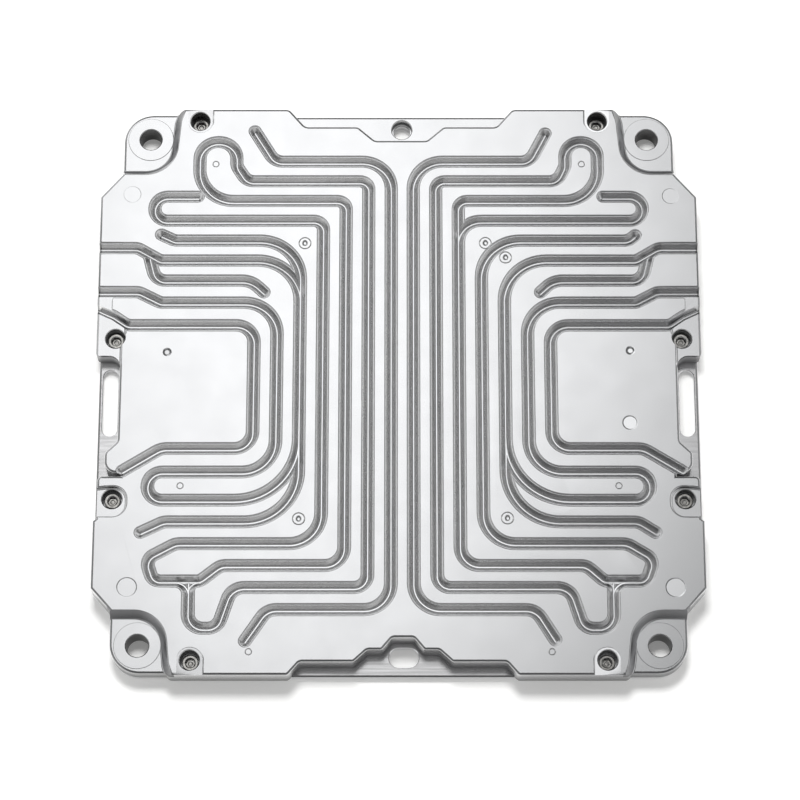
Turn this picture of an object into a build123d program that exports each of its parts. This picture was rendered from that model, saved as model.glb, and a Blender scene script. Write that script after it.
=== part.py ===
from build123d import *
from math import acos, atan2, copysign, cos, degrees, radians, tan
import os

# Battery cooling plate, lying flat: a cast channel plate with serpentine grooves, bolted to a base plate.
# Millimetres, +Z up, X across the plate, Y from the front edge to the back edge.
# The plate is drawn about the middle of its screw pattern and moved at the end, so that the origin is
# under the middle of the whole plate, on the surface that it lies on.

# Heights
BASE_THICKNESS = 5.0
PLATEAU_HEIGHT = 20.0
EAR_HEIGHT = 15.0
BACK_FLANGE_HEIGHT = 12.0
PAD_STEP = 3.0
SHELF_STEP = 1.0

# Plan size of the base plate and its corner ears
BASE_HALF_WIDTH = 181.5
BASE_BACK = 188.0
BASE_FRONT = -166.9
EAR_INSET = 11.9
EAR_ROUND = 18.0
BACK_EAR_LENGTH = 41.7
BACK_SHOULDER_RUN = 15.0
FRONT_EAR_LENGTH = 37.0
FRONT_SHOULDER_RUN = 13.3
EAR_HALF_WIDTH = BASE_HALF_WIDTH - EAR_INSET
BACK_EAR_START = BASE_BACK - BACK_EAR_LENGTH
BACK_SHOULDER = BACK_EAR_START - BACK_SHOULDER_RUN
FRONT_EAR_START = BASE_FRONT + FRONT_EAR_LENGTH
FRONT_SHOULDER = FRONT_EAR_START + FRONT_SHOULDER_RUN

# Plan size of the raised plateau, that stands out a little over the base plate
PLATEAU_HALF_WIDTH = BASE_HALF_WIDTH + 1.2
PLATEAU_LOWER_HALF_WIDTH = BASE_HALF_WIDTH - 0.2
PLATEAU_BACK = BASE_BACK + 1.9
PLATEAU_FRONT = BASE_FRONT - 2.0

# Stepped recesses in the back and front edges of the plateau, as half widths about their own centres
BACK_CENTRE = 1.3
BACK_OUTER_HALF = 69.0
BACK_OUTER_RUN = 59.0
BACK_STEP = PLATEAU_BACK - 11.7
BACK_INNER_HALF = 26.4
BACK_INNER_RUN = 16.0
BACK_NOTCH = PLATEAU_BACK - 20.9
BACK_FLANGE_OVERLAP = 4.0
FRONT_CENTRE = 2.6
FRONT_OUTER_HALF = 67.4
FRONT_OUTER_RUN = 60.5
FRONT_STEP = PLATEAU_FRONT + 7.9
FRONT_INNER_HALF = 28.9
FRONT_INNER_RUN = 21.0
FRONT_SHELF = PLATEAU_FRONT + 15.1
FRONT_NOTCH_HALF = 12.4
FRONT_NOTCH_RUN = 6.2
FRONT_NOTCH = PLATEAU_FRONT + 22.5

# Recess over each side flange, where the base plate shows with its window
FLANGE_INNER_X = PLATEAU_HALF_WIDTH - 14.7
FLANGE_BACK = 29.2
FLANGE_NECK = -26.0
FLANGE_FRONT = -47.8
FLANGE_TIP_X = PLATEAU_HALF_WIDTH - 7.3
FLANGE_TIP_BACK = -33.0
FLANGE_TIP_FRONT = -45.6
FLANGE_TIP_WIDTH = 10.0
WINDOW_X = BASE_HALF_WIDTH - 7.1
WINDOW_WIDTH = 9.2
WINDOW_BACK = 24.0
WINDOW_FRONT = -18.0

# S-shaped walls that drop from the plateau to the ears
EAR_WALL_RUN = 4.0
EAR_WALL_BEND = 20.0
EAR_WALL_INSET = 32.0
EAR_WALL_X = EAR_HALF_WIDTH - EAR_WALL_INSET
EAR_WALL_FOOT_X = EAR_WALL_X - 3.2
EAR_WALL_MOUTH_X = EAR_WALL_X - 8.1
EAR_WALL_FLARE = 7.0
EAR_FOOT_ROUND = 6.0
BACK_EAR_MOUTH = PLATEAU_BACK - 7.9
FRONT_EAR_MOUTH = PLATEAU_FRONT + 6.9

# Fasteners and holes
BOLT_SPACING_X = 2 * (EAR_HALF_WIDTH - 16.3)
BOLT_BACK = BASE_BACK - 16.5
BOLT_FRONT = BASE_FRONT + 16.7
BOLT_HOLE_RADIUS = 6.75
BACK_SCREW_FROM_WALL = 11.8
BACK_SCREW_INSET = 7.9
UPPER_SCREW_INSET = 11.4
UPPER_SCREW_Y = 40.1
LOWER_SCREW_INSET = 12.1
LOWER_SCREW_Y = -61.0
FRONT_SCREW_FROM_WALL = 12.3
FRONT_SCREW_INSET = 9.0
BACK_SCREW = (EAR_WALL_FOOT_X - BACK_SCREW_FROM_WALL, PLATEAU_BACK - BACK_SCREW_INSET)
UPPER_SCREW = (PLATEAU_HALF_WIDTH - UPPER_SCREW_INSET, UPPER_SCREW_Y)
LOWER_SCREW = (PLATEAU_HALF_WIDTH - LOWER_SCREW_INSET, LOWER_SCREW_Y)
FRONT_SCREW = (EAR_WALL_FOOT_X - FRONT_SCREW_FROM_WALL, PLATEAU_FRONT + FRONT_SCREW_INSET)
SCREW_RADIUS = 3.0
SCREW_LENGTH = 8.0
HEAD_RADIUS = 5.0
HEAD_HEIGHT = 4.0
SOCKET_WIDTH = 5.0
SOCKET_DEPTH = 2.6
SCREW_TIP_GAP = 0.3
COUNTERBORE_RADIUS = 6.0
CLEARANCE_RADIUS = 3.4
THREAD_CLEARANCE = 0.05
LOCATING_HOLE_X = 1.9
LOCATING_HOLE_Y = BASE_BACK - 8.5
LOCATING_RADIUS = 5.25
LOCATING_STEP_RADIUS = 6.2
LOCATING_STEP_DEPTH = 4.0
SLOT_X = 3.1
SLOT_Y = PLATEAU_FRONT + 13.8
SLOT_LENGTH = 17.6
SLOT_WIDTH = 11.8

# Pockets round the screws, the side ones as distance in from the side edge
PAD_RADIUS = 8.4
EDGE_PAD_RADIUS = 7.8
EDGE_PAD_STEP = 1.2
LOWER_PAD_WIDTH = 20.9
LOWER_PAD_SLOPE_WIDTH = 10.7
LOWER_PAD_SLOPE = 2.5
LOWER_PAD_BACK = 7.0
LOWER_PAD_FRONT = 11.8
LOWER_PAD_EDGE = 3.3
LOWER_PAD_END = -74.0
UPPER_PAD_BACK = 57.0
UPPER_PAD_SLOPE = ((5.9, 0.0, 2.0), (10.2, 3.6, 3.0), (14.2, 6.7, 2.0), (17.5, 10.0, 1.5))
UPPER_PAD_NECK = 14.0
UPPER_PAD_INNER = 18.5
UPPER_PAD_WIDTH = 15.1
LAND_END_INSET = 8.9
LAND_END_BACK = 69.0
LAND_END_FRONT = 50.4
LAND_END_SLOPE = (4.5, 4.0)
LAND_END_RUN = 5.8
LAND_END_CUT = 7.4

# Seal between the two plates
SEAL_HALF_WIDTH = BASE_HALF_WIDTH - 23.5
SEAL_BACK = BACK_NOTCH - 8.0
SEAL_FRONT = FRONT_NOTCH + 7.4
SEAL_CORNER = 18.0
SEAL_WIDTH = 3.0
SEAL_HEIGHT = 2.5
SEAL_SIDE_GAP = 0.3

# Section of the grooves, and the flats that make up their bends
GROOVE_WIDTH = 7.0
GROOVE_FLOOR = 1.8
GROOVE_DEPTH = 4.5
FLAT_TURN = 22.5
FLAT_GAP = 0.3

# Grooves: distances out from the channel centre line, and heights up the plate
CHANNEL_CENTRE = 2.2
FIRST_RUN = 6.75
RUN_PITCH = 13.8
BACK_ROW = BACK_NOTCH - 14.1
ROW_PITCH = 13.05
FRONT_ROW = FRONT_NOTCH + 16.7
FRONT_ROW_PITCH = 13.4
BRANCH_ROW = FRONT_ROW + 17.4
NOSE_ROW = BRANCH_ROW + 13.3
PORT_ROW = 97.8
PORT_RETURN_ROW = 69.1
LOOP_ROW = 62.3
PAD_ROW = 47.7
FRONT_LOOP_ROW = -45.2
FRONT_PAD_ROW = -30.5
MEANDER_SPLIT = 0.0
OUTER_RUN_START = -20.0
HOOK_HEIGHT = 15.85
BULB_LOW = BACK_ROW - 2.9
BULB_TOP = BACK_ROW + 13.1
FRONT_BULB = FRONT_ROW - 11.3
INNER_BEND = 78.6
BULB_BEND = 95.5
BRANCH_BEND = 119.0
RETURN_RISE = 4.7
OUTER_END_DROP = 6.5
STUB_BEND = 92.0
STUB_END = 84.0
STUB_END_RISE = 7.6
STUB_START_RISE = 2.35
BRANCH_OVERLAP = 0.5
PORT_FOOT_IN = 1.5
PORT_LOOP_IN = 0.8
PAD_MOUTH_SLANT = 0.9
PAD_SLOPE_INSET = 18.4
PAD_SLOPE_RUN = 8.6
PAD_SLOPE_RISE = 5.9
PAD_EXIT_RISE = 8.0
PAD_BEND = 144.0
PAD_MOUTH_INSET = 16.7
PAD_MOUTH_DROP = 14.1
MOUTH_OVER = 7.3

# How far the bends and ends of the grooves reach out on the left half and on the right half
LEFT = {
    "inner_back_end": (91.0, 20.3),
    "inner_front_end": (92.2, 18.9),
    "inner_front_bend": 79.4,
    "back_bulb": (101.9, 124.6),
    "front_bulb": (108.5, 126.0),
    "front_bulb_foot": 100.4,
    "front_bend": 107.0,
    "front_loop": 147.0,
    "front_nose": 151.5,
    "front_return": 134.0,
    "hook": 151.6,
    "hook_end": 123.4,
    "return_bend": 139.0,
    "return_end": 148.8,
    "outer_bend": 141.5,
    "outer_end": 155.0,
    "port_slope": (147.5, 161.5),
    "port_loop": 151.6,
    "stub": (150.0, 154.0),
}
RIGHT = {
    "inner_back_end": (88.4, 18.9),
    "inner_front_end": (89.6, 18.2),
    "inner_front_bend": 78.3,
    "back_bulb": (100.3, 120.2),
    "front_bulb": (106.4, 124.4),
    "front_bulb_foot": 98.5,
    "front_bend": 108.5,
    "front_loop": 144.0,
    "front_nose": 148.5,
    "front_return": 133.0,
    "hook": 147.2,
    "hook_end": 121.4,
    "return_bend": 138.5,
    "return_end": 143.8,
    "outer_bend": 140.0,
    "outer_end": 150.0,
    "port_slope": (143.0, 156.5),
    "port_loop": 147.4,
    "stub": (146.0, 149.7),
}

CUT_OVER = 1.0


def corner_round(before, corner, after, radius):
    """Start, end, centre and signed turn of the round at one corner of a path."""
    into = (corner - before).normalized()
    out = (after - corner).normalized()
    turn = into.get_signed_angle(out, Vector(0, 0, 1))
    trim = radius * tan(radians(abs(turn)) / 2)
    start = corner - into * trim
    side = copysign(1.0, turn)
    centre = start + into.rotate(Axis.Z, 90) * (side * radius)
    return start, corner + out * trim, centre, turn


def rounded_outline(corners):
    """Closed face from corners given as x, y, radius."""
    points = [Vector(x, y) for x, y, radius in corners]
    count = len(corners)
    rounds = []
    for i in range(count):
        rounds.append(corner_round(points[i - 1], points[i], points[(i + 1) % count], corners[i][2]))
    edges = []
    for i, (start, end, centre, turn) in enumerate(rounds):
        radius = corners[i][2]
        if radius > 0:
            middle = centre + (points[i] - centre).normalized() * radius
            edges.append(Edge.make_three_point_arc(start, middle, end))
        following = rounds[(i + 1) % count][0]
        if (following - end).length > 1e-4:
            edges.append(Edge.make_line(end, following))
    return Face(Wire(edges))


def slab(corners, low, high):
    """Upright solid between two heights from a rounded outline."""
    return Solid.extrude(rounded_outline(corners).moved(Pos(0, 0, low)), Vector(0, 0, high - low))


def both_sides(half):
    """Closed outline from the corners of its left half, front to back, mirrored to the right."""
    return half + [(-x, y, radius) for x, y, radius in reversed(half)]


def flats_in_bend(radius, turn):
    """Number of flats round a bend, so that none turns too far or strays from the arc."""
    widest = min(FLAT_TURN, 2 * degrees(acos(1 - FLAT_GAP / radius)))
    return max(1, round(abs(turn) / widest))


def bend_corners(before, corner, after, radius, distance):
    """Corners of a groove's side round one bend of its route, at a distance to the left of it."""
    start, end, centre, turn = corner_round(before, corner, after, radius)
    flats = flats_in_bend(radius, turn)
    half = turn / flats / 2
    reach = (radius - copysign(1.0, turn) * distance) / cos(radians(half))
    first = (start - centre).normalized() * reach
    return [centre + first.rotate(Axis.Z, half * (2 * i + 1)) for i in range(flats)]


def end_corners(point, along, half_width, blind):
    """Corners of a groove's end: open and square, or blind with half an octagon."""
    left = along.rotate(Axis.Z, 90)
    facet = tan(radians(22.5))
    if blind:
        shape = [(1, facet), (facet, 1), (-facet, 1), (-1, facet)]
    else:
        shape = [(1, 0), (-1, 0)]
    return [point + left * (half_width * a) + along * (half_width * b) for a, b in shape]


def groove_outline(route, half_width, height, blind_start, blind_end):
    """Corners of the outline of a groove at one height."""
    points = [Vector(x, y) for x, y, radius in route]
    left = []
    right = []
    for i in range(1, len(points) - 1):
        near = (points[i - 1], points[i], points[i + 1], route[i][2])
        left += bend_corners(*near, half_width)
        right += bend_corners(*near, -half_width)
    end = end_corners(points[-1], (points[-1] - points[-2]).normalized(), half_width, blind_end)
    start = end_corners(points[0], (points[0] - points[1]).normalized(), half_width, blind_start)
    return [corner + Vector(0, 0, height) for corner in left + end + right[::-1] + start]


def groove(route, blind_start=True, blind_end=True):
    """Cutter for one groove, skinned between its floor and its wider mouth above the top face."""
    slope = (GROOVE_WIDTH - GROOVE_FLOOR) / 2 / GROOVE_DEPTH
    mouth_half = GROOVE_WIDTH / 2 + CUT_OVER * slope
    ends = (blind_start, blind_end)
    floor = groove_outline(route, GROOVE_FLOOR / 2, PLATEAU_HEIGHT - GROOVE_DEPTH, *ends)
    mouth = groove_outline(route, mouth_half, PLATEAU_HEIGHT + CUT_OVER, *ends)
    outlines = [floor, mouth]
    for i in range(len(floor)):
        outlines.append([floor[i - 1], floor[i], mouth[i], mouth[i - 1]])
    return Solid(Shell([Face(Wire.make_polygon(corners)) for corners in outlines]))


def on_side(side, route):
    """Route given as distances out from the channel centre line, placed on one side of it."""
    return [(CHANNEL_CENTRE + side * out, y, radius) for out, y, radius in route]


def run(number):
    """Distance out from the channel centre line of an upright run, counted from the middle."""
    return FIRST_RUN + number * RUN_PITCH


def back_row(number):
    return BACK_ROW - number * ROW_PITCH


def front_row(number):
    return FRONT_ROW + number * FRONT_ROW_PITCH


def inner_groove(half):
    """First groove, that runs from the back edge to the front edge beside the centre line."""
    back_end, rise = half["inner_back_end"]
    front_end, drop = half["inner_front_end"]
    return [
        (back_end, back_row(0) + rise, 0),
        (INNER_BEND, back_row(0), 9),
        (run(0), back_row(0), 18),
        (run(0), front_row(0), 16),
        (half["inner_front_bend"], front_row(0), 10),
        (front_end, front_row(0) - drop, 0),
    ]


def front_bulb(half):
    """Bulb at the front and the lower half of the second run."""
    inner, outer = half["front_bulb"]
    return [
        (outer, BRANCH_ROW - BRANCH_OVERLAP, 0),
        (outer, FRONT_BULB, 9),
        (inner, FRONT_BULB, 8),
        (half["front_bulb_foot"], front_row(1), 10),
        (run(1), front_row(1), 8),
        (run(1), MEANDER_SPLIT, 0),
    ]


def meander(half):
    """Upper half of the second run, bulb at the back, third run and half of the fourth run."""
    inner, outer = half["back_bulb"]
    bulb = (outer - inner) / 2 - 0.1
    return [
        (run(1), MEANDER_SPLIT, 0),
        (run(1), back_row(1), 5.5),
        (BULB_BEND, back_row(1), 8),
        (inner, BULB_LOW, 8),
        (inner, BULB_TOP, bulb),
        (outer, BULB_TOP, bulb),
        (outer, back_row(2), 16),
        (run(2), back_row(2), 5.5),
        (run(2), front_row(2), 11.5),
        (half["front_bend"], front_row(2), 8),
        (BRANCH_BEND, BRANCH_ROW, 6),
        (half["front_loop"], BRANCH_ROW, 6),
        (half["front_nose"], NOSE_ROW, 6.5),
        (half["front_return"], front_row(3), 10),
        (run(3), front_row(3), 19),
        (run(3), MEANDER_SPLIT, 0),
    ]


def hook(half, start, bend):
    """Groove that leaves an upright run, turns back at the side and ends blind."""
    end_row = back_row(3) + HOOK_HEIGHT
    radius = HOOK_HEIGHT / 2 - 0.05
    return [
        start,
        (start[0], back_row(3), bend),
        (half["hook"], back_row(3), radius),
        (half["hook"], end_row, radius),
        (half["hook_end"], end_row, 0),
    ]


def back_return(half, start, bend):
    """Groove that leaves an upright run for the fifth row and ends blind near the side."""
    end = (half["return_end"], back_row(4) + RETURN_RISE, 0)
    return [start, (start[0], back_row(4), bend), (half["return_bend"], back_row(4), 8), end]


def outer_groove(half):
    """Groove that leaves the fifth run at the front, with a blind end near the side."""
    end = (half["outer_end"], front_row(4) - OUTER_END_DROP, 0)
    turn = (half["outer_bend"], front_row(4), 10)
    return [(run(4), OUTER_RUN_START, 0), (run(4), front_row(4), 32), turn, end]


def port_groove(half):
    """Groove that enters from the side edge, loops at the front and returns to the same edge."""
    bend, foot = half["port_slope"]
    mouth = PLATEAU_HALF_WIDTH + MOUTH_OVER
    return [
        (mouth, PORT_ROW, 0),
        (foot, PORT_ROW, 7),
        (bend, back_row(5), 7),
        (run(4), back_row(5), 26),
        (run(4), front_row(5), 38),
        (half["port_loop"], front_row(5), 8.6),
        (half["port_loop"], FRONT_LOOP_ROW, 8.6),
        (run(5), FRONT_LOOP_ROW, 20),
        (run(5), LOOP_ROW, 20),
        (bend - PORT_LOOP_IN, LOOP_ROW, 7),
        (foot - PORT_FOOT_IN, PORT_RETURN_ROW, 7),
        (mouth, PORT_RETURN_ROW, 0),
    ]


def stub_groove(half):
    """Short groove that branches from the port groove and ends blind."""
    bend, start = half["stub"]
    return [
        (start, back_row(5) + STUB_START_RISE, 0),
        (bend, back_row(6), 8),
        (STUB_BEND, back_row(6), 14),
        (STUB_END, back_row(6) - STUB_END_RISE, 0),
    ]


def pad_groove(side):
    """Groove round the flat side pad, from the side edge to the recess over the side flange."""
    edge = PLATEAU_HALF_WIDTH - side * CHANNEL_CENTRE
    slope = edge - PAD_SLOPE_INSET
    top = PAD_ROW + PAD_SLOPE_RISE
    mouth = PLATEAU_HALF_WIDTH - PAD_MOUTH_INSET + PAD_MOUTH_SLANT
    return [
        (edge + MOUTH_OVER, top + PAD_EXIT_RISE, 0),
        (slope + PAD_SLOPE_RUN, top, 5),
        (slope, PAD_ROW, 7),
        (run(6), PAD_ROW, 11),
        (run(6), FRONT_PAD_ROW, 11),
        (PAD_BEND, FRONT_PAD_ROW, 12),
        (mouth, FRONT_PAD_ROW - PAD_MOUTH_DROP, 0),
    ]


def all_grooves():
    cutters = []
    for side, half in ((-1, LEFT), (1, RIGHT)):
        cutters.append(groove(on_side(side, inner_groove(half))))
        cutters.append(groove(on_side(side, front_bulb(half)), True, False))
        cutters.append(groove(on_side(side, meander(half)), False, False))
        cutters.append(groove(on_side(side, outer_groove(half)), False, True))
        cutters.append(groove(on_side(side, port_groove(half)), False, False))
        cutters.append(groove(on_side(side, stub_groove(half))))
        cutters.append(groove(on_side(side, pad_groove(side)), False, True))
    left_hook = hook(LEFT, (run(3), MEANDER_SPLIT, 0), 6)
    left_return = back_return(LEFT, (run(4), MEANDER_SPLIT, 0), 25)
    right_hook = hook(RIGHT, (run(2), MEANDER_SPLIT, 0), 14)
    right_return = back_return(RIGHT, (run(3), MEANDER_SPLIT, 0), 24)
    for side, route in ((-1, left_hook), (-1, left_return), (1, right_hook), (1, right_return)):
        cutters.append(groove(on_side(side, route), False, True))
    return cutters


def back_recess():
    """Corners of the plateau's back edge, from right to left."""
    right = [
        (BACK_OUTER_HALF, PLATEAU_BACK, 0),
        (BACK_OUTER_RUN, BACK_STEP, 0),
        (BACK_INNER_HALF, BACK_STEP, 0),
        (BACK_INNER_RUN, BACK_NOTCH, 0),
    ]
    left = [(-x, y, radius) for x, y, radius in reversed(right)]
    return [(x + BACK_CENTRE, y, radius) for x, y, radius in right + left]


def front_recess():
    """Corners of the plateau's front edge, from left to right."""
    left = [
        (-FRONT_OUTER_HALF, PLATEAU_FRONT, 0),
        (-FRONT_OUTER_RUN, FRONT_STEP, 0),
        (-FRONT_INNER_HALF, FRONT_STEP, 0),
        (-FRONT_INNER_RUN, FRONT_SHELF, 0),
        (-FRONT_NOTCH_HALF, FRONT_SHELF, 0),
        (-FRONT_NOTCH_RUN, FRONT_NOTCH, 0),
    ]
    right = [(-x, y, radius) for x, y, radius in reversed(left)]
    return [(x + FRONT_CENTRE, y, radius) for x, y, radius in left + right]


def side_edge(side):
    """Corners of one side of the plateau, from the back ear to the front ear."""
    edge = [
        (EAR_WALL_FOOT_X, PLATEAU_BACK, 3),
        (EAR_WALL_FOOT_X + 2, BASE_BACK, 0.5),
        (EAR_HALF_WIDTH, BASE_BACK, EAR_ROUND),
        (EAR_HALF_WIDTH, BACK_EAR_START, 0),
        (PLATEAU_HALF_WIDTH, BACK_SHOULDER, 0),
        (PLATEAU_HALF_WIDTH, FLANGE_BACK, 1.5),
        (FLANGE_INNER_X, FLANGE_BACK, 7),
        (FLANGE_INNER_X, FLANGE_NECK, 4),
        (FLANGE_TIP_X, FLANGE_TIP_BACK, 4),
        (FLANGE_TIP_X, FLANGE_TIP_FRONT, 7),
        (FLANGE_TIP_X - FLANGE_TIP_WIDTH, FLANGE_TIP_FRONT, 1),
        (FLANGE_TIP_X - FLANGE_TIP_WIDTH, FLANGE_FRONT, 0),
        (PLATEAU_HALF_WIDTH - LOWER_PAD_EDGE, FLANGE_FRONT, 3),
        (PLATEAU_HALF_WIDTH - LOWER_PAD_EDGE, LOWER_PAD_END, 0),
        (PLATEAU_LOWER_HALF_WIDTH, LOWER_PAD_END - 1.5, 0),
        (PLATEAU_LOWER_HALF_WIDTH, FRONT_SHOULDER, 0),
        (EAR_HALF_WIDTH, FRONT_EAR_START, 0),
        (EAR_HALF_WIDTH, BASE_FRONT, EAR_ROUND),
        (EAR_WALL_FOOT_X + 2, BASE_FRONT, 0.5),
        (EAR_WALL_FOOT_X, PLATEAU_FRONT, 3),
    ]
    return [(side * x, y, radius) for x, y, radius in edge]


def plateau_block():
    """Full height of the casting, before its ears, pads and grooves are cut."""
    corners = back_recess() + side_edge(-1) + front_recess() + list(reversed(side_edge(1)))
    return slab(corners, BASE_THICKNESS, PLATEAU_HEIGHT)


def ear_pocket(ear_start, mouth, edge):
    """Cutter over the ear in the quadrant of positive x and y, with a sloped S-shaped wall."""
    outside = EAR_HALF_WIDTH + EAR_ROUND
    beyond = edge + EAR_ROUND
    corners = [
        (outside, ear_start, 0),
        (outside, beyond, 0),
        (EAR_WALL_MOUTH_X, beyond, 0),
        (EAR_WALL_MOUTH_X, edge + EAR_WALL_FLARE, 0),
        (EAR_WALL_FOOT_X, mouth, EAR_FOOT_ROUND),
        (EAR_WALL_X, ear_start, EAR_WALL_BEND),
    ]
    drop = PLATEAU_HEIGHT - EAR_HEIGHT
    slope = degrees(atan2(EAR_WALL_RUN, drop))
    top = rounded_outline(corners).moved(Pos(0, 0, PLATEAU_HEIGHT))
    wall = Solid.extrude_taper(top, Vector(0, 0, -drop), slope)
    return wall.fuse(slab(corners, PLATEAU_HEIGHT, PLATEAU_HEIGHT + CUT_OVER))


def ear_pockets():
    """The four pockets, mirrored into their quadrants."""
    back = ear_pocket(BACK_EAR_START, BACK_EAR_MOUTH, PLATEAU_BACK)
    front = ear_pocket(-FRONT_EAR_START, -FRONT_EAR_MOUTH, -PLATEAU_FRONT).mirror(Plane.XZ)
    return [back, back.mirror(Plane.YZ), front, front.mirror(Plane.YZ)]


def drill(x, y, radius, low, high):
    return Solid.make_cylinder(radius, high - low, Plane((x, y, low)))


def bolt_positions():
    half = BOLT_SPACING_X / 2
    return [(x, y) for x in (-half, half) for y in (BOLT_BACK, BOLT_FRONT)]


def screw_positions():
    half = (BACK_SCREW, UPPER_SCREW, LOWER_SCREW, FRONT_SCREW)
    return [(side * x, y) for side in (-1, 1) for x, y in half]


def screw_seat():
    return SCREW_TIP_GAP + SCREW_LENGTH


def edge_pad(x, y, edge, side):
    """Shallow pocket round a screw, open to the back or front edge, that runs out to nothing outwards."""
    away = copysign(1.0, edge)
    radius = EDGE_PAD_RADIUS
    beyond = edge + away * radius
    near = y - away * radius
    corners = [
        (x - side * radius, near, radius - 0.2),
        (x + side * radius, near, radius - 0.2),
        (x + side * radius, beyond, 0),
        (x - side * radius, beyond, 0),
    ]
    low = PLATEAU_HEIGHT - EDGE_PAD_STEP
    rise = EDGE_PAD_STEP / (2 * radius)
    inner = Vector(x - side * (radius + CUT_OVER), 0, low - rise * CUT_OVER)
    outer = Vector(x + side * (radius + CUT_OVER), 0, PLATEAU_HEIGHT + rise * CUT_OVER)
    foot = Vector(outer.X, 0, inner.Z)
    start = min(near, beyond) - CUT_OVER
    ramp = Face(Wire.make_polygon([inner, outer, foot])).moved(Pos(0, start, 0))
    below = Solid.extrude(ramp, Vector(0, abs(beyond - near) + 2 * CUT_OVER, 0))
    pocket = slab(corners, low, PLATEAU_HEIGHT + CUT_OVER)
    return pocket.cut(below)


def side_pocket(side, corners, depth):
    """Pocket that is open to the side edge, from corners given as distance in from that edge."""
    edge = PLATEAU_HALF_WIDTH
    placed = [(side * (edge - inset), y, radius) for inset, y, radius in corners]
    return slab(placed, PLATEAU_HEIGHT - depth, PLATEAU_HEIGHT + CUT_OVER)


def lower_side_pad(side):
    """U-shaped pocket for the lower side screw."""
    back = LOWER_SCREW[1] + LOWER_PAD_BACK
    front = LOWER_SCREW[1] - LOWER_PAD_FRONT
    corners = [
        (-PAD_RADIUS, back - LOWER_PAD_SLOPE, 0),
        (LOWER_PAD_SLOPE_WIDTH, back, 6),
        (LOWER_PAD_WIDTH, back, 8),
        (LOWER_PAD_WIDTH, front, 8.5),
        (-PAD_RADIUS, front, 0),
    ]
    return side_pocket(side, corners, PAD_STEP)


def upper_side_pad(side):
    """Pocket for the upper side screw, between the end of the side groove and the side flange."""
    slope = [(inset, UPPER_PAD_BACK - drop, radius) for inset, drop, radius in UPPER_PAD_SLOPE]
    front = FLANGE_BACK - PAD_RADIUS
    neck = [
        (UPPER_PAD_SLOPE[-1][0], UPPER_PAD_BACK - UPPER_PAD_NECK, 2),
        (UPPER_PAD_WIDTH, UPPER_PAD_BACK - UPPER_PAD_INNER, 3),
        (UPPER_PAD_WIDTH, front, 0),
    ]
    corners = [(-PAD_RADIUS, UPPER_PAD_BACK, 0)] + slope + neck + [(-PAD_RADIUS, front, 0)]
    return side_pocket(side, corners, PAD_STEP)


def side_shelf(side):
    """Shallow step at the side edge, outside the rounded end of the land between two grooves."""
    rise, run_in = LAND_END_SLOPE
    corners = [
        (-PAD_RADIUS, LAND_END_BACK, 0),
        (LAND_END_INSET + rise, LAND_END_BACK, 1),
        (LAND_END_INSET, LAND_END_BACK - run_in, 3),
        (LAND_END_INSET, LAND_END_FRONT + LAND_END_CUT, 4),
        (LAND_END_INSET + LAND_END_RUN, LAND_END_FRONT, 1),
        (-PAD_RADIUS, LAND_END_FRONT, 0),
    ]
    return side_pocket(side, corners, SHELF_STEP)


def pocket_cutters():
    cutters = ear_pockets()
    for side in (-1, 1):
        cutters.append(edge_pad(side * BACK_SCREW[0], BACK_SCREW[1], PLATEAU_BACK, side))
        cutters.append(edge_pad(side * FRONT_SCREW[0], FRONT_SCREW[1], PLATEAU_FRONT, side))
        cutters.append(lower_side_pad(side))
        cutters.append(upper_side_pad(side))
        cutters.append(side_shelf(side))
    return cutters


def hole_cutters():
    """Holes through the channel plate: corner bolts, screws and the locating hole."""
    cutters = []
    over = PLATEAU_HEIGHT + CUT_OVER
    for x, y in bolt_positions():
        cutters.append(drill(x, y, BOLT_HOLE_RADIUS, 0, over))
    for x, y in screw_positions():
        cutters.append(drill(x, y, CLEARANCE_RADIUS, 0, over))
        cutters.append(drill(x, y, COUNTERBORE_RADIUS, screw_seat(), over))
    step_low = BACK_FLANGE_HEIGHT - LOCATING_STEP_DEPTH
    flange_over = BACK_FLANGE_HEIGHT + CUT_OVER
    cutters.append(drill(LOCATING_HOLE_X, LOCATING_HOLE_Y, LOCATING_RADIUS, 0, flange_over))
    cutters.append(drill(LOCATING_HOLE_X, LOCATING_HOLE_Y, LOCATING_STEP_RADIUS, step_low, flange_over))
    return cutters


def seal_corners(grow):
    """Corners of the seal's centre line, moved outwards."""
    x = SEAL_HALF_WIDTH + grow
    back = SEAL_BACK + grow
    front = SEAL_FRONT - grow
    cut = SEAL_CORNER + grow * tan(radians(22.5))
    quarter = [(x, back - cut), (x - cut, back)]
    low = [(x - cut, front), (x, front + cut)]
    right = low + quarter
    left = [(-px, py) for px, py in reversed(right)]
    return [(px, py, 0) for px, py in right + left]


def seal_ring(side_gap, height):
    """Closed ring of rectangular section on the joint face, as wide as the seal plus a gap each side."""
    grow = SEAL_WIDTH / 2 + side_gap
    top = BASE_THICKNESS + height
    outer = slab(seal_corners(grow), BASE_THICKNESS, top)
    return outer.cut(slab(seal_corners(-grow), BASE_THICKNESS - CUT_OVER, top + CUT_OVER))


def channel_plate():
    """Cast plate with the grooves, ears, screw pads and the back flange."""
    body = plateau_block()
    flange_half = BACK_OUTER_HALF + CUT_OVER
    flange_start = BACK_NOTCH - BACK_FLANGE_OVERLAP
    flange = [
        (BACK_CENTRE + flange_half, flange_start, 0),
        (BACK_CENTRE + flange_half, BASE_BACK, 0),
        (BACK_CENTRE - flange_half, BASE_BACK, 0),
        (BACK_CENTRE - flange_half, flange_start, 0),
    ]
    body = body.fuse(slab(flange, BASE_THICKNESS, BACK_FLANGE_HEIGHT))
    body = body.cut(*pocket_cutters())
    body = body.cut(*all_grooves())
    body = body.cut(*hole_cutters())
    return body.cut(seal_ring(SEAL_SIDE_GAP, SEAL_HEIGHT))


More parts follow.
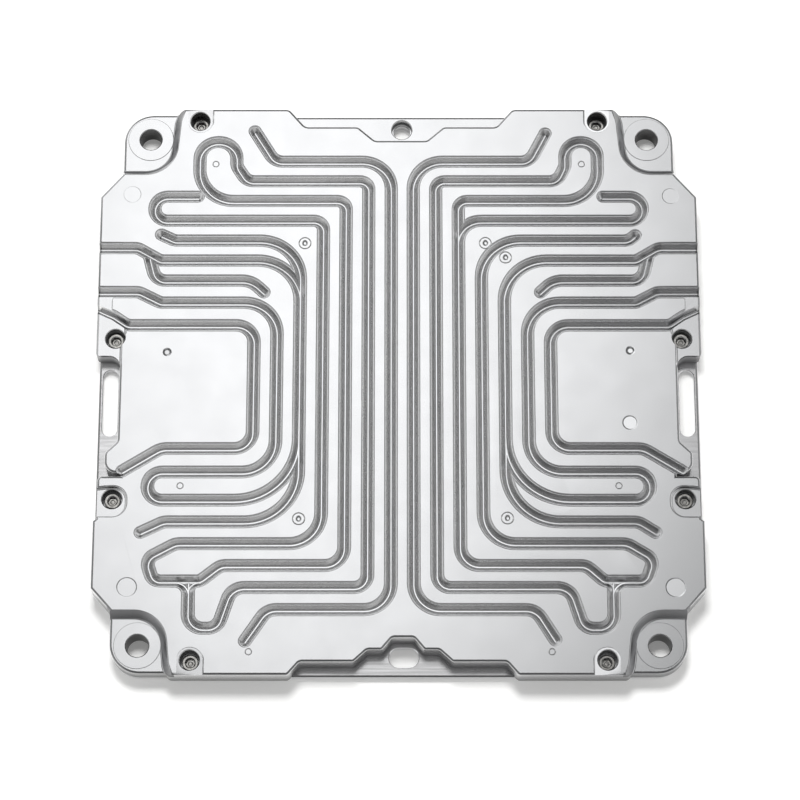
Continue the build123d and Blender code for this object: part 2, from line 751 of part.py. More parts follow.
def base_outline():
    """Corners of one side of the base plate, from back to front, with its rounded ears."""
    return [
        (-EAR_HALF_WIDTH, BASE_BACK, EAR_ROUND),
        (-EAR_HALF_WIDTH, BACK_EAR_START, 0.5),
        (-BASE_HALF_WIDTH, BACK_SHOULDER, 0),
        (-BASE_HALF_WIDTH, FRONT_SHOULDER, 0),
        (-EAR_HALF_WIDTH, FRONT_EAR_START, 0.5),
        (-EAR_HALF_WIDTH, BASE_FRONT, EAR_ROUND),
    ]


def stadium(x, y, length, width, upright):
    """Slot outline with round ends."""
    face = SlotOverall(length, width, rotation=90 if upright else 0).face()
    return face.moved(Pos(x, y, 0))


def base_plate():
    """Flat plate under the casting, with the side windows, the front slot and the threaded holes."""
    body = slab(both_sides(base_outline()), 0, BASE_THICKNESS)
    through = Vector(0, 0, BASE_THICKNESS + 2 * CUT_OVER)
    below = Pos(0, 0, -CUT_OVER)
    slot = stadium(SLOT_X, SLOT_Y, SLOT_LENGTH, SLOT_WIDTH, False)
    cutters = [Solid.extrude(slot.moved(below), through)]
    window_length = WINDOW_BACK - WINDOW_FRONT
    window_y = (WINDOW_BACK + WINDOW_FRONT) / 2
    for side in (-1, 1):
        window = stadium(side * WINDOW_X, window_y, window_length, WINDOW_WIDTH, True)
        cutters.append(Solid.extrude(window.moved(below), through))
    top = BASE_THICKNESS + CUT_OVER
    for x, y in bolt_positions():
        cutters.append(drill(x, y, BOLT_HOLE_RADIUS, -CUT_OVER, top))
    for x, y in screw_positions():
        cutters.append(drill(x, y, SCREW_RADIUS + THREAD_CLEARANCE, -CUT_OVER, top))
    cutters.append(drill(LOCATING_HOLE_X, LOCATING_HOLE_Y, LOCATING_RADIUS, -CUT_OVER, top))
    return body.cut(*cutters)


def cap_screw(x, y):
    """Socket head cap screw, seated in its counterbore, with the tip inside the base plate."""
    seat = screw_seat()
    top = seat + HEAD_HEIGHT
    head = drill(x, y, HEAD_RADIUS, seat, top)
    shank = drill(x, y, SCREW_RADIUS, seat - SCREW_LENGTH, seat)
    hexagon = RegularPolygon(SOCKET_WIDTH / 2, 6, major_radius=False).face()
    placed = hexagon.moved(Pos(x, y, top - SOCKET_DEPTH))
    socket = Solid.extrude(placed, Vector(0, 0, SOCKET_DEPTH + CUT_OVER))
    return head.fuse(shank).cut(socket)


def main():
    os.makedirs("parts", exist_ok=True)
    centred = Pos(0, -(PLATEAU_BACK + PLATEAU_FRONT) / 2, 0)
    screws = [cap_screw(x, y).moved(centred) for x, y in screw_positions()]
    export_step(channel_plate().moved(centred), "parts/channel_plate.step")
    export_step(base_plate().moved(centred), "parts/base_plate.step")
    export_step(seal_ring(0, SEAL_HEIGHT).moved(centred), "parts/perimeter_seal.step")
    export_step(Compound(children=screws), "parts/cap_screws.step")


main()
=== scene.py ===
import bmesh
import bpy
from math import atan2, ceil, cos, degrees, pi, radians, sin, tan
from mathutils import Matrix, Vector


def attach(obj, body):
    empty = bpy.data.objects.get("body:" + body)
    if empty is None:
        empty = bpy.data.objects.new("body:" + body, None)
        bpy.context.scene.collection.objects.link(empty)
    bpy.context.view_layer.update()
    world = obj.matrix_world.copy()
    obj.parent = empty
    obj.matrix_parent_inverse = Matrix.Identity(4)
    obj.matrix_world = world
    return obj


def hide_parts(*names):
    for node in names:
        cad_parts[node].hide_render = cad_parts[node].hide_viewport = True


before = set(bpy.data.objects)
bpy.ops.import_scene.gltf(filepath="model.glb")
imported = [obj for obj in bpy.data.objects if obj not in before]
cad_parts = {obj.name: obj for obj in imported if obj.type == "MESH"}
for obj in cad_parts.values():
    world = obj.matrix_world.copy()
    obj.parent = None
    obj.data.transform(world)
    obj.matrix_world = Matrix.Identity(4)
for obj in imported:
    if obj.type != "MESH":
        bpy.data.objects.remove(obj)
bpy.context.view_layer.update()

# Sizes are in millimetres, drawn about the middle of the screw pattern as the plate's own drawing is,
# and are turned into metres of the shared frame when a mesh is made.
MM = 0.001

# Heights
BASE_THICKNESS = 5.0
PLATEAU_HEIGHT = 20.0
EAR_HEIGHT = 15.0
BACK_FLANGE_HEIGHT = 12.0
PAD_STEP = 3.0
SHELF_STEP = 1.0

# Plan size of the base plate and its corner ears
BASE_HALF_WIDTH = 181.5
BASE_BACK = 188.0
BASE_FRONT = -166.9
EAR_ROUND = 18.0
EAR_HALF_WIDTH = BASE_HALF_WIDTH - 11.9
BACK_EAR_START = BASE_BACK - 41.7
BACK_SHOULDER = BACK_EAR_START - 15.0
FRONT_EAR_START = BASE_FRONT + 37.0
FRONT_SHOULDER = FRONT_EAR_START + 13.3

# Plan size of the raised plateau, that stands out a little over the base plate
PLATEAU_HALF_WIDTH = BASE_HALF_WIDTH + 1.2
PLATEAU_LOWER_HALF_WIDTH = BASE_HALF_WIDTH - 0.2
PLATEAU_BACK = BASE_BACK + 1.9
PLATEAU_FRONT = BASE_FRONT - 2.0

# Stepped recesses in the back and front edges of the plateau, as half widths about their own centres
BACK_CENTRE = 1.3
BACK_OUTER_HALF = 69.0
BACK_OUTER_RUN = 59.0
BACK_STEP = PLATEAU_BACK - 11.7
BACK_INNER_HALF = 26.4
BACK_INNER_RUN = 16.0
BACK_NOTCH = PLATEAU_BACK - 20.9
BACK_FLANGE_OVERLAP = 4.0
FRONT_CENTRE = 2.6
FRONT_OUTER_HALF = 67.4
FRONT_OUTER_RUN = 60.5
FRONT_STEP = PLATEAU_FRONT + 7.9
FRONT_INNER_HALF = 28.9
FRONT_INNER_RUN = 21.0
FRONT_SHELF = PLATEAU_FRONT + 15.1
FRONT_NOTCH_HALF = 12.4
FRONT_NOTCH_RUN = 6.2
FRONT_NOTCH = PLATEAU_FRONT + 22.5

# Recess over each side flange, where the base plate shows with its window
FLANGE_INNER_X = PLATEAU_HALF_WIDTH - 14.7
FLANGE_BACK = 29.2
FLANGE_NECK = -26.0
FLANGE_FRONT = -47.8
FLANGE_TIP_X = PLATEAU_HALF_WIDTH - 7.3
FLANGE_TIP_BACK = -33.0
FLANGE_TIP_FRONT = -45.6
FLANGE_TIP_WIDTH = 10.0
WINDOW_X = BASE_HALF_WIDTH - 7.1
WINDOW_WIDTH = 9.2
WINDOW_BACK = 24.0
WINDOW_FRONT = -18.0

# S-shaped walls that drop from the plateau to the ears
EAR_WALL_RUN = 4.0
EAR_WALL_BEND = 20.0
EAR_WALL_X = EAR_HALF_WIDTH - 32.0
EAR_WALL_FOOT_X = EAR_WALL_X - 3.2
EAR_WALL_OUTER_X = EAR_WALL_FOOT_X + 2
EAR_WALL_MOUTH_X = EAR_WALL_X - 8.1
EAR_WALL_FLARE = 7.0
EAR_FOOT_ROUND = 6.0
BACK_EAR_MOUTH = PLATEAU_BACK - 7.9
FRONT_EAR_MOUTH = PLATEAU_FRONT + 6.9

# Fasteners and holes
BOLT_SPACING_X = 2 * (EAR_HALF_WIDTH - 16.3)
BOLT_BACK = BASE_BACK - 16.5
BOLT_FRONT = BASE_FRONT + 16.7
BOLT_HOLE_RADIUS = 6.75
BACK_SCREW = (EAR_WALL_FOOT_X - 11.8, PLATEAU_BACK - 7.9)
UPPER_SCREW = (PLATEAU_HALF_WIDTH - 11.4, 40.1)
LOWER_SCREW = (PLATEAU_HALF_WIDTH - 12.1, -61.0)
FRONT_SCREW = (EAR_WALL_FOOT_X - 12.3, PLATEAU_FRONT + 9.0)
SCREW_RADIUS = 3.0
SCREW_LENGTH = 8.0
HEAD_RADIUS = 5.0
HEAD_HEIGHT = 4.0
SOCKET_WIDTH = 5.0
SOCKET_DEPTH = 2.6
SCREW_TIP_GAP = 0.3
COUNTERBORE_RADIUS = 6.0
CLEARANCE_RADIUS = 3.4
THREAD_CLEARANCE = 0.05
LOCATING_HOLE_X = 1.9
LOCATING_HOLE_Y = BASE_BACK - 8.5
LOCATING_RADIUS = 5.25
LOCATING_STEP_RADIUS = 6.2
LOCATING_STEP_DEPTH = 4.0
SLOT_X = 3.1
SLOT_Y = PLATEAU_FRONT + 13.8
SLOT_LENGTH = 17.6
SLOT_WIDTH = 11.8

# Pockets round the screws and the step beside a land. Those at the side are corners that give
# distance in from the side edge, height and radius.
EDGE_PAD_RADIUS = 7.8
EDGE_PAD_ROUND = EDGE_PAD_RADIUS - 0.2
LOWER_PAD_EDGE = 3.3
LOWER_PAD_END = -74.0
LOWER_PAD_FOOT = LOWER_PAD_END - 1.5
PAD_RADIUS = 8.4
PAD_OUTER = -PAD_RADIUS
LOWER_PAD_BACK = LOWER_SCREW[1] + 7.0
LOWER_PAD_FRONT = LOWER_SCREW[1] - 11.8
UPPER_PAD_BACK = 57.0
UPPER_PAD_FRONT = FLANGE_BACK - PAD_RADIUS
LAND_STEP_BACK = 69.0
LAND_STEP_FRONT = 50.4
LOWER_PAD = [
    (PAD_OUTER, LOWER_PAD_BACK - 2.5, 0),
    (10.7, LOWER_PAD_BACK, 6),
    (20.9, LOWER_PAD_BACK, 8),
    (20.9, LOWER_PAD_FRONT, 8.5),
    (PAD_OUTER, LOWER_PAD_FRONT, 0),
]
UPPER_PAD = [
    (PAD_OUTER, UPPER_PAD_BACK, 0),
    (5.9, UPPER_PAD_BACK, 2),
    (10.2, UPPER_PAD_BACK - 3.6, 3),
    (14.2, UPPER_PAD_BACK - 6.7, 2),
    (17.5, UPPER_PAD_BACK - 10.0, 1.5),
    (17.5, UPPER_PAD_BACK - 14.0, 2),
    (15.1, UPPER_PAD_BACK - 18.5, 3),
    (15.1, UPPER_PAD_FRONT, 0),
    (PAD_OUTER, UPPER_PAD_FRONT, 0),
]
LAND_STEP = [
    (PAD_OUTER, LAND_STEP_BACK, 0),
    (13.4, LAND_STEP_BACK, 1),
    (8.9, LAND_STEP_BACK - 4.0, 3),
    (8.9, LAND_STEP_FRONT + 7.4, 4),
    (14.7, LAND_STEP_FRONT, 1),
    (PAD_OUTER, LAND_STEP_FRONT, 0),
]

# Seal between the two plates
SEAL_HALF_WIDTH = BASE_HALF_WIDTH - 23.5
SEAL_BACK = BACK_NOTCH - 8.0
SEAL_FRONT = FRONT_NOTCH + 7.4
SEAL_CORNER = 18.0
SEAL_WIDTH = 3.0
SEAL_HEIGHT = 2.5
SEAL_SIDE_GAP = 0.3

# Section of the grooves
GROOVE_WIDTH = 7.0
GROOVE_FLOOR = 1.8
GROOVE_DEPTH = 4.5

# Grooves: distances out from the channel centre line, and heights up the plate
CHANNEL_CENTRE = 2.2
FIRST_RUN = 6.75
RUN_PITCH = 13.8
BACK_ROW = BACK_NOTCH - 14.1
ROW_PITCH = 13.05
FRONT_ROW = FRONT_NOTCH + 16.7
FRONT_ROW_PITCH = 13.4
BRANCH_ROW = FRONT_ROW + 17.4
NOSE_ROW = BRANCH_ROW + 13.3
PORT_ROW = 97.8
PORT_RETURN_ROW = 69.1
LOOP_ROW = 62.3
PAD_ROW = 47.7
FRONT_LOOP_ROW = -45.2
FRONT_PAD_ROW = -30.5
MEANDER_SPLIT = 0.0
OUTER_RUN_START = -20.0
HOOK_HEIGHT = 15.85
HOOK_ROUND = HOOK_HEIGHT / 2 - 0.05
BULB_LOW = BACK_ROW - 2.9
BULB_TOP = BACK_ROW + 13.1
BULB_FLAT = 0.1
FRONT_BULB = FRONT_ROW - 11.3
INNER_BEND = 78.6
BULB_BEND = 95.5
BRANCH_BEND = 119.0
RETURN_RISE = 4.7
OUTER_END_DROP = 6.5
STUB_BEND = 92.0
STUB_END = 84.0
STUB_END_RISE = 7.6
STUB_START_RISE = 2.35
BRANCH_OVERLAP = 0.5
PORT_FOOT_IN = 1.5
PORT_LOOP_IN = 0.8
PAD_MOUTH_SLANT = 0.9
PAD_SLOPE_INSET = 18.4
PAD_SLOPE_RUN = 8.6
PAD_SLOPE_RISE = 5.9
PAD_EXIT_RISE = 8.0
PAD_BEND = 144.0
PAD_MOUTH_INSET = 16.7
PAD_MOUTH_DROP = 14.1
MOUTH_OVER = 7.3

# How far the bends and ends of the grooves reach out, on the left half and on the right half
HALVES = {
    "inner_back_end": ((91.0, 20.3), (88.4, 18.9)),
    "inner_front_end": ((92.2, 18.9), (89.6, 18.2)),
    "inner_front_bend": (79.4, 78.3),
    "back_bulb": ((101.9, 124.6), (100.3, 120.2)),
    "front_bulb": ((108.5, 126.0), (106.4, 124.4)),
    "front_bulb_foot": (100.4, 98.5),
    "front_bend": (107.0, 108.5),
    "front_loop": (147.0, 144.0),
    "front_nose": (151.5, 148.5),
    "front_return": (134.0, 133.0),
    "hook": (151.6, 147.2),
    "hook_end": (123.4, 121.4),
    "return_bend": (139.0, 138.5),
    "return_end": (148.8, 143.8),
    "outer_bend": (141.5, 140.0),
    "outer_end": (155.0, 150.0),
    "port_slope": ((147.5, 161.5), (143.0, 156.5)),
    "port_loop": (151.6, 147.4),
    "stub": ((150.0, 154.0), (146.0, 149.7)),
}
LEFT, RIGHT = [{name: values[i] for name, values in HALVES.items()} for i in (0, 1)]

# Side, half, run that the hook leaves, and the bends of the hook and of the return beside it
BLIND_BRANCHES = ((-1, LEFT, 3, 6, 25), (1, RIGHT, 2, 14, 24))

DRAWING_TO_FRAME_Y = -(PLATEAU_BACK + PLATEAU_FRONT) / 2

# How far cutters pass beyond what they cut, how far joined blocks and open groove ends overlap,
# and the hair that keeps faces from lying in one plane
CUT_OVER = 1.0
JOIN_DEPTH = 2.0
END_OVERLAP = 0.6
HAIR = 0.02

# Points nearer to each other than this many metres are one
SAME_PLACE = 1e-7

# Degrees of a round for each flat, with more on a round up to the small one, and how many flats
# the round pieces and cutters have
ROUND_STEP = 6.0
SMALL_ROUND = 6.0
SMALL_ROUND_STEP = 10.0
END_STEPS = 10
WALL_STEPS = 4
LIP_STEPS = 3
PAD_STEPS = 5
EDGE_STEPS = 5
BOSS_STEPS = 64
DISC_STEPS = 48
PIT_STEPS = 40
RING_STEPS = 36
BORE_STEPS = 32
SMALL_STEPS = 24
HEXAGON_STEPS = DISC_STEPS // 6

# Faces that meet at less than this many degrees are shaded as one
SMOOTH_ANGLE = 38
SCREW_SMOOTH_ANGLE = 30

# Rounded rims and fillets that the dressed pieces add to the plain solids
GROOVE_RIM = 0.6
LIP_RUN = 0.2
LEDGE_DEPTH = 1.0
LEDGE_WIDTH = 0.3
LEDGE_FILLET = 0.12
LEDGE_RIM = 0.05
GROOVE_FILLET = 1.1
FLOOR_LEAN = 0.09
BLIND_END_TRIM = 1.8
BULB_SWEEP = 21
BACK_RECESS_ROUND = 4.5
FRONT_RECESS_ROUND = 3
FLARE_REACH = 8.5
FLARE_END = 0.5
EDGE_RIM = 0.8
EDGE_CHAMFER = 1.3
EDGE_SLOPE = radians(20)
EDGE_ROUND = 0.45
EDGE_LOOP = 0.03
EDGE_PAD_DEPTH = 0.7
SMALL_RIM = 0.3
PAD_WALL_RUN = 0.3
PAD_RIM = 0.8
PAD_FILLET = 0.8
EAR_FILLET = 1.2
HOLE_CHAMFER = 0.5
BOSS_RADIUS = 14.0
BOSS_RISE = 0.3
BASE_RIM = 0.4
SEAL_ROUND = 0.2
SCREW_TIP_CHAMFER = 0.6
SCREW_HEAD_CHAMFER = 0.7
SOCKET_CHAMFER = 0.35
SOCKET_FLARE = 0.8
PILOT_INSET = 0.9
PILOT_DEPTH = 0.6
PILOT_OVERLAP = 0.1

# Round marks in the top face: wide ones with place, radius, depth and lean, and the rest with their place
PIT_LEAN = Vector((-0.6, 0.8))
WIDE_MARKS = [
    (-163.4, 133.1, 5.4, 0.06, -0.004),
    (166.7, 132.0, 5.2, 0.1, 0.006),
    (-160.0, -116.0, 6.2, 0.2, 0.008),
    (163.0, -116.2, 6.1, 0.2, 0.014),
    (138.5, -14.2, 4.7, 0.25, 0.024),
]
RING_MARKS = [(-57.2, 101.0), (52.9, 101.1), (65.1, 91.7), (-59.3, -74.1), (64.5, -73.7)]
PIN_MARKS = [(-139.7, 30.5), (139.8, 31.5)]
DOT_MARKS = [(-112.5, 153.2), (112.5, 153.2), (-130.0, -53.7), (131.0, -53.7)]
DOT_MARKS += [(-87.8, -155.0), (89.7, -155.0)]
PIT_RIM_RUN = 2.5

# Radius, width and depth of the fine lines, and the pits inside two kinds of marks
RING_LINE = (4.0, 0.8, 0.4)
PIN_LINE = (1.9, 0.7, 0.9)
DOT_LINE = (2.2, 0.7, 0.4)
PIN_PIT = (3.0, 0.5, 0.04)
RING_PIT_RADIUS = 2.0
RING_PIT = [(-1.3, -0.5), (-0.4, -0.35), (0, 0), (0, CUT_OVER)]

# Colours of the casting, and the limits of where they lie. All but the face and wall colours are painted
# shade.
FACE_COLOUR = (0.855, 0.862, 0.875)
WALL_COLOUR = (0.8, 0.8, 0.8)
SHADED_WALL_COLOUR = (0.5, 0.5, 0.51)
# Painted shade towards the foot of the walls, for the shadowed floor that they mirror, partly their darker
# as-cast tone
SKIRT_SHADE_COLOUR = (0.16, 0.16, 0.165)
# Painted shade on the ear walls and the recess walls, and darker still at the ears' feet
RECESS_AND_EAR_SHADE_COLOUR = (0.2, 0.2, 0.205)
EAR_FOOT_SHADE_COLOUR = (0.04, 0.04, 0.042)
EAR_SHADE_RADIUS = 31.8
EAR_SHADE_SHIFT = 7.8
EAR_SHADE_GAPS = (0.4, 0.2)
EAR_WALL_HEIGHTS = (19, 12)
SKIRT_SHADE_HEIGHTS = (17.5, 5)
SHADED_RIGHT = (30, 120)
RECESS_OUT = (163, 166)
RECESS_ALONG = (45, 40)
RECESS_TOP = (19, 18.5)
RECESS_FOOT = (15.5, 14.5)
SIDE_EDGE_GAPS = (1.2, 1.0)
SIDE_EDGE_HEIGHTS = (19.5, 19)
# Painted shade in the bolt holes and round the screws
BOLT_HOLE_SHADE_COLOUR = (0.05, 0.05, 0.05)
SCREW_HOLE_SHADE_COLOUR = (0.35, 0.35, 0.35)
SCREW_SHADE_RADIUS = 6.6
BOLT_SHADE_RADIUS = BOLT_HOLE_RADIUS + 0.1
MASK_EDGE = 0.3
# Share of painted shade on the outer edge chamfers
CHAMFER_SHADE = 0.5

# Colours of the sheet, the steel and the rubber. The steel's chamfer colour is a painted highlight and its
# upright colour painted shade
SHEET_COLOUR = (0.8, 0.8, 0.81)
STEEL_COLOUR = (0.5, 0.49, 0.47)
STEEL_CHAMFER_HIGHLIGHT_COLOUR = (0.85, 0.85, 0.84)
STEEL_UPRIGHT_SHADE_COLOUR = (0.12, 0.12, 0.12)
RUBBER_COLOUR = (0.03, 0.03, 0.032)

# Directions, and how far a face turns to them where its look changes, 1 being straight
UP = (0, 0, 1)
TO_FRONT = (0, -1, 0)
FACE_UP = (0.6, 0.97)
CHAMFER_UP = (0.985, 0.965)
CHAMFER_UP_END = (0.86, 0.92)
CHAMFER_TO_FRONT = (0.28, 0.1)
SHADED_TO_FRONT = (0.3, 0.8)
SOCKET_UP = (0.3, 0.6)
STEEL_TOP_UP = (0.85, 0.97)

# Noise patterns, with size per metre, detail and stretch, and the levels, roughness and relief they give.
# The limits of the noise itself come last where they are its own.
EVEN = (1, 1, 1)
NOISE_RANGE = (0.3, 0.7)
MILLING = (1400, 2, (0.02, 0.02, 1))
MILLING_LEVELS = (0.95, 1.04)
WALL_ROUGHNESS = (0.28, 0.23)
LAND_CLOUDS = ((26, 3, EVEN), (0.994, 1.006))
LAND_GRAIN = (2200, 2, EVEN)
LAND_GRAIN_LEVELS = (0.985, 1.015)
LAND_SATIN = ((60, 4, EVEN), (0.18, 0.2))
LAND_RELIEF = 0.002
ROLLING = (900, 3, (0.04, 1, 1))
ROLLING_LEVELS = (0.96, 1.04)
ROLLING_RELIEF = 0.003
SHEET_CLOUDS = ((30, 3, EVEN), (0.97, 1.02))
SHEET_ROUGHNESS = (0.27, 0.19)
TURNING = (2600, 2, (1, 1, 0.3))
TURNING_RELIEF = 0.01
STEEL_ROUGHNESS = (0.1, 0.2)
STEEL_PATCHES = ((520, 3, EVEN), (0.6, 1.15), (0.35, 0.65))
RUBBER_GRAIN = (1800, 3, EVEN)
RUBBER_LEVELS = (0.8, 1.3)
RUBBER_ROUGHNESS = (0.5, 0.7)
RUBBER_RELIEF = 0.02

# Camera in metres, as it stood for the photograph: above and in front of the plate
CAMERA_AIM = Vector((0.0008, -0.0105, 0.020))
CAMERA_TILT = radians(18.5)
CAMERA_DISTANCE = 1.8468
CAMERA_LENS = 138.5
SENSOR_WIDTH = 36.0
CLIP_END = 50.0

# Room that the metal mirrors. Its ceiling is seen from the plate: places on it are given to the right
# and to the back for each unit of height, and its walls by how far a direction goes up, right or back.
LOWEST_RISE = 0.3
ROOM_LEVELS = [(0.0, 0.85), (0.25, 0.85), (0.47, 0.8), (0.65, 0.28), (0.75, 0.1)]
ROOM_LIMIT = 1.0
BACK_DIM = 0.6
BACK_DIM_BACK = (0.35, 0.75)
BACK_DIM_UP = (0.15, 0.35)
FRONT_DIM = 0.45
FRONT_DIM_BACK = (-0.85, -0.35)
SIDE_LIGHT = 0.25
SIDE_LIGHT_OUT = (0.4, 0.65)
WALL_LIGHT = 0.9
WALL_LEFT = (-0.06, 0.16)
WALL_BACK = (0.4, 0.6)
WALL_BACK_END = (0.85, 0.7)
GLOW_LIGHT = 0.35
GLOW_RIGHT = (-0.2, -0.12)
GLOW_RIGHT_END = (0.1, 0.01)
GLOW_BACK = (0.05, 0.15)
GLOW_BACK_END = (0.27, 0.23)
TOP_LIGHT = 0.5
TOP_SHIFT = 0.07
TOP_REACH = (0.24, 0.13)
BOX_X = -0.033
BOX_Y = 0.405
BOX_STRETCH = 1.3
BOX_REACH = 0.25
BOX_STRENGTH = 1.23
BOX_LEVELS = [(0.3, 1.0), (0.42, 0.97), (0.50, 0.8), (0.57, 0.58), (0.62, 0.42), (0.68, 0.24), (0.85, 0.0)]

# Floor, with its half width in metres
FLOOR_COLOUR = (0.93, 0.93, 0.92, 1)
FLOOR_GLOW = 0.2
FLOOR_GLOW_COLOUR = (1, 1, 0.99, 1)
FLOOR_HALF = 4.0

# Lamp, placed by angles behind and to the left of the zenith, in metres and watts
KEY_BACK = radians(21)
KEY_LEFT = radians(3)
KEY_DISTANCE = 2.2
KEY_SIZE = (0.6, 0.6)
KEY_POWER = 33


def on_side(side, corners, centre=0.0):
    """Corners given as distance out from a centre, height and radius, placed on one side of it."""
    return [(centre + side * out, y, radius) for out, y, radius in corners]


def run(number):
    """Distance out from the channel centre line of an upright run, counted from the middle."""
    return FIRST_RUN + number * RUN_PITCH


def back_row(number):
    return BACK_ROW - number * ROW_PITCH


def front_row(number):
    return FRONT_ROW + number * FRONT_ROW_PITCH


def inner_groove(half):
    """First groove, that runs from the back edge to the front edge beside the centre line."""
    back_end, rise = half["inner_back_end"]
    front_end, drop = half["inner_front_end"]
    return [
        (back_end, back_row(0) + rise, 0),
        (INNER_BEND, back_row(0), 9),
        (run(0), back_row(0), 18),
        (run(0), front_row(0), 16),
        (half["inner_front_bend"], front_row(0), 10),
        (front_end, front_row(0) - drop, 0),
    ]


def front_bulb(half):
    """Bulb at the front and the lower half of the second run."""
    inner, outer = half["front_bulb"]
    return [
        (outer, BRANCH_ROW - BRANCH_OVERLAP, 0),
        (outer, FRONT_BULB, 9),
        (inner, FRONT_BULB, 8),
        (half["front_bulb_foot"], front_row(1), 10),
        (run(1), front_row(1), 8),
        (run(1), MEANDER_SPLIT, 0),
    ]


def meander(half):
    """Upper half of the second run, bulb at the back, third run and half of the fourth run."""
    inner, outer = half["back_bulb"]
    bulb = (outer - inner) / 2 - BULB_FLAT
    return [
        (run(1), MEANDER_SPLIT, 0),
        (run(1), back_row(1), 5.5),
        (BULB_BEND, back_row(1), 8),
        (inner, BULB_LOW, 8),
        (inner, BULB_TOP, bulb),
        (outer, BULB_TOP, bulb),
        (outer, back_row(2), BULB_SWEEP),
        (run(2), back_row(2), 5.5),
        (run(2), front_row(2), 11.5),
        (half["front_bend"], front_row(2), 8),
        (BRANCH_BEND, BRANCH_ROW, 6),
        (half["front_loop"], BRANCH_ROW, 6),
        (half["front_nose"], NOSE_ROW, 6.5),
        (half["front_return"], front_row(3), 10),
        (run(3), front_row(3), 19),
        (run(3), MEANDER_SPLIT, 0),
    ]


def hook(half, start, bend):
    """Groove that leaves an upright run, turns back at the side and ends blind."""
    end_row = back_row(3) + HOOK_HEIGHT
    return [
        start,
        (start[0], back_row(3), bend),
        (half["hook"], back_row(3), HOOK_ROUND),
        (half["hook"], end_row, HOOK_ROUND),
        (half["hook_end"], end_row, 0),
    ]


def back_return(half, start, bend):
    """Groove that leaves an upright run for the fifth row and ends blind near the side."""
    end = (half["return_end"], back_row(4) + RETURN_RISE, 0)
    return [start, (start[0], back_row(4), bend), (half["return_bend"], back_row(4), 8), end]


def outer_groove(half):
    """Groove that leaves the fifth run at the front, with a blind end near the side."""
    end = (half["outer_end"], front_row(4) - OUTER_END_DROP, 0)
    turn = (half["outer_bend"], front_row(4), 10)
    return [(run(4), OUTER_RUN_START, 0), (run(4), front_row(4), 32), turn, end]


def port_groove(half):
    """Groove that enters from the side edge, loops at the front and returns to the same edge."""
    bend, foot = half["port_slope"]
    mouth = PLATEAU_HALF_WIDTH + MOUTH_OVER
    return [
        (mouth, PORT_ROW, 0),
        (foot, PORT_ROW, 7),
        (bend, back_row(5), 7),
        (run(4), back_row(5), 26),
        (run(4), front_row(5), 38),
        (half["port_loop"], front_row(5), 8.6),
        (half["port_loop"], FRONT_LOOP_ROW, 8.6),
        (run(5), FRONT_LOOP_ROW, 20),
        (run(5), LOOP_ROW, 20),
        (bend - PORT_LOOP_IN, LOOP_ROW, 7),
        (foot - PORT_FOOT_IN, PORT_RETURN_ROW, 7),
        (mouth, PORT_RETURN_ROW, 0),
    ]


def stub_groove(half):
    """Short groove that branches from the port groove and ends blind."""
    bend, start = half["stub"]
    return [
        (start, back_row(5) + STUB_START_RISE, 0),
        (bend, back_row(6), 8),
        (STUB_BEND, back_row(6), 14),
        (STUB_END, back_row(6) - STUB_END_RISE, 0),
    ]


def pad_groove(side):
    """Groove round the flat side pad, from the side edge to the recess over the side flange."""
    edge = PLATEAU_HALF_WIDTH - side * CHANNEL_CENTRE
    slope = edge - PAD_SLOPE_INSET
    top = PAD_ROW + PAD_SLOPE_RISE
    mouth = PLATEAU_HALF_WIDTH - PAD_MOUTH_INSET + PAD_MOUTH_SLANT
    return [
        (edge + MOUTH_OVER, top + PAD_EXIT_RISE, 0),
        (slope + PAD_SLOPE_RUN, top, 5),
        (slope, PAD_ROW, 7),
        (run(6), PAD_ROW, 11),
        (run(6), FRONT_PAD_ROW, 11),
        (PAD_BEND, FRONT_PAD_ROW, 12),
        (mouth, FRONT_PAD_ROW - PAD_MOUTH_DROP, 0),
    ]


def back_recess():
    """Corners of the plateau's back edge, from right to left."""
    corners = [
        (BACK_OUTER_HALF, PLATEAU_BACK),
        (BACK_OUTER_RUN, BACK_STEP),
        (BACK_INNER_HALF, BACK_STEP),
        (BACK_INNER_RUN, BACK_NOTCH),
    ]
    half = [(x, y, BACK_RECESS_ROUND) for x, y in corners]
    return on_side(1, half, BACK_CENTRE) + on_side(-1, half[::-1], BACK_CENTRE)


def front_recess():
    """Corners of the plateau's front edge, from left to right."""
    corners = [
        (FRONT_OUTER_HALF, PLATEAU_FRONT),
        (FRONT_OUTER_RUN, FRONT_STEP),
        (FRONT_INNER_HALF, FRONT_STEP),
        (FRONT_INNER_RUN, FRONT_SHELF),
        (FRONT_NOTCH_HALF, FRONT_SHELF),
        (FRONT_NOTCH_RUN, FRONT_NOTCH),
    ]
    half = [(x, y, FRONT_RECESS_ROUND) for x, y in corners]
    return on_side(-1, half, FRONT_CENTRE) + on_side(1, half[::-1], FRONT_CENTRE)


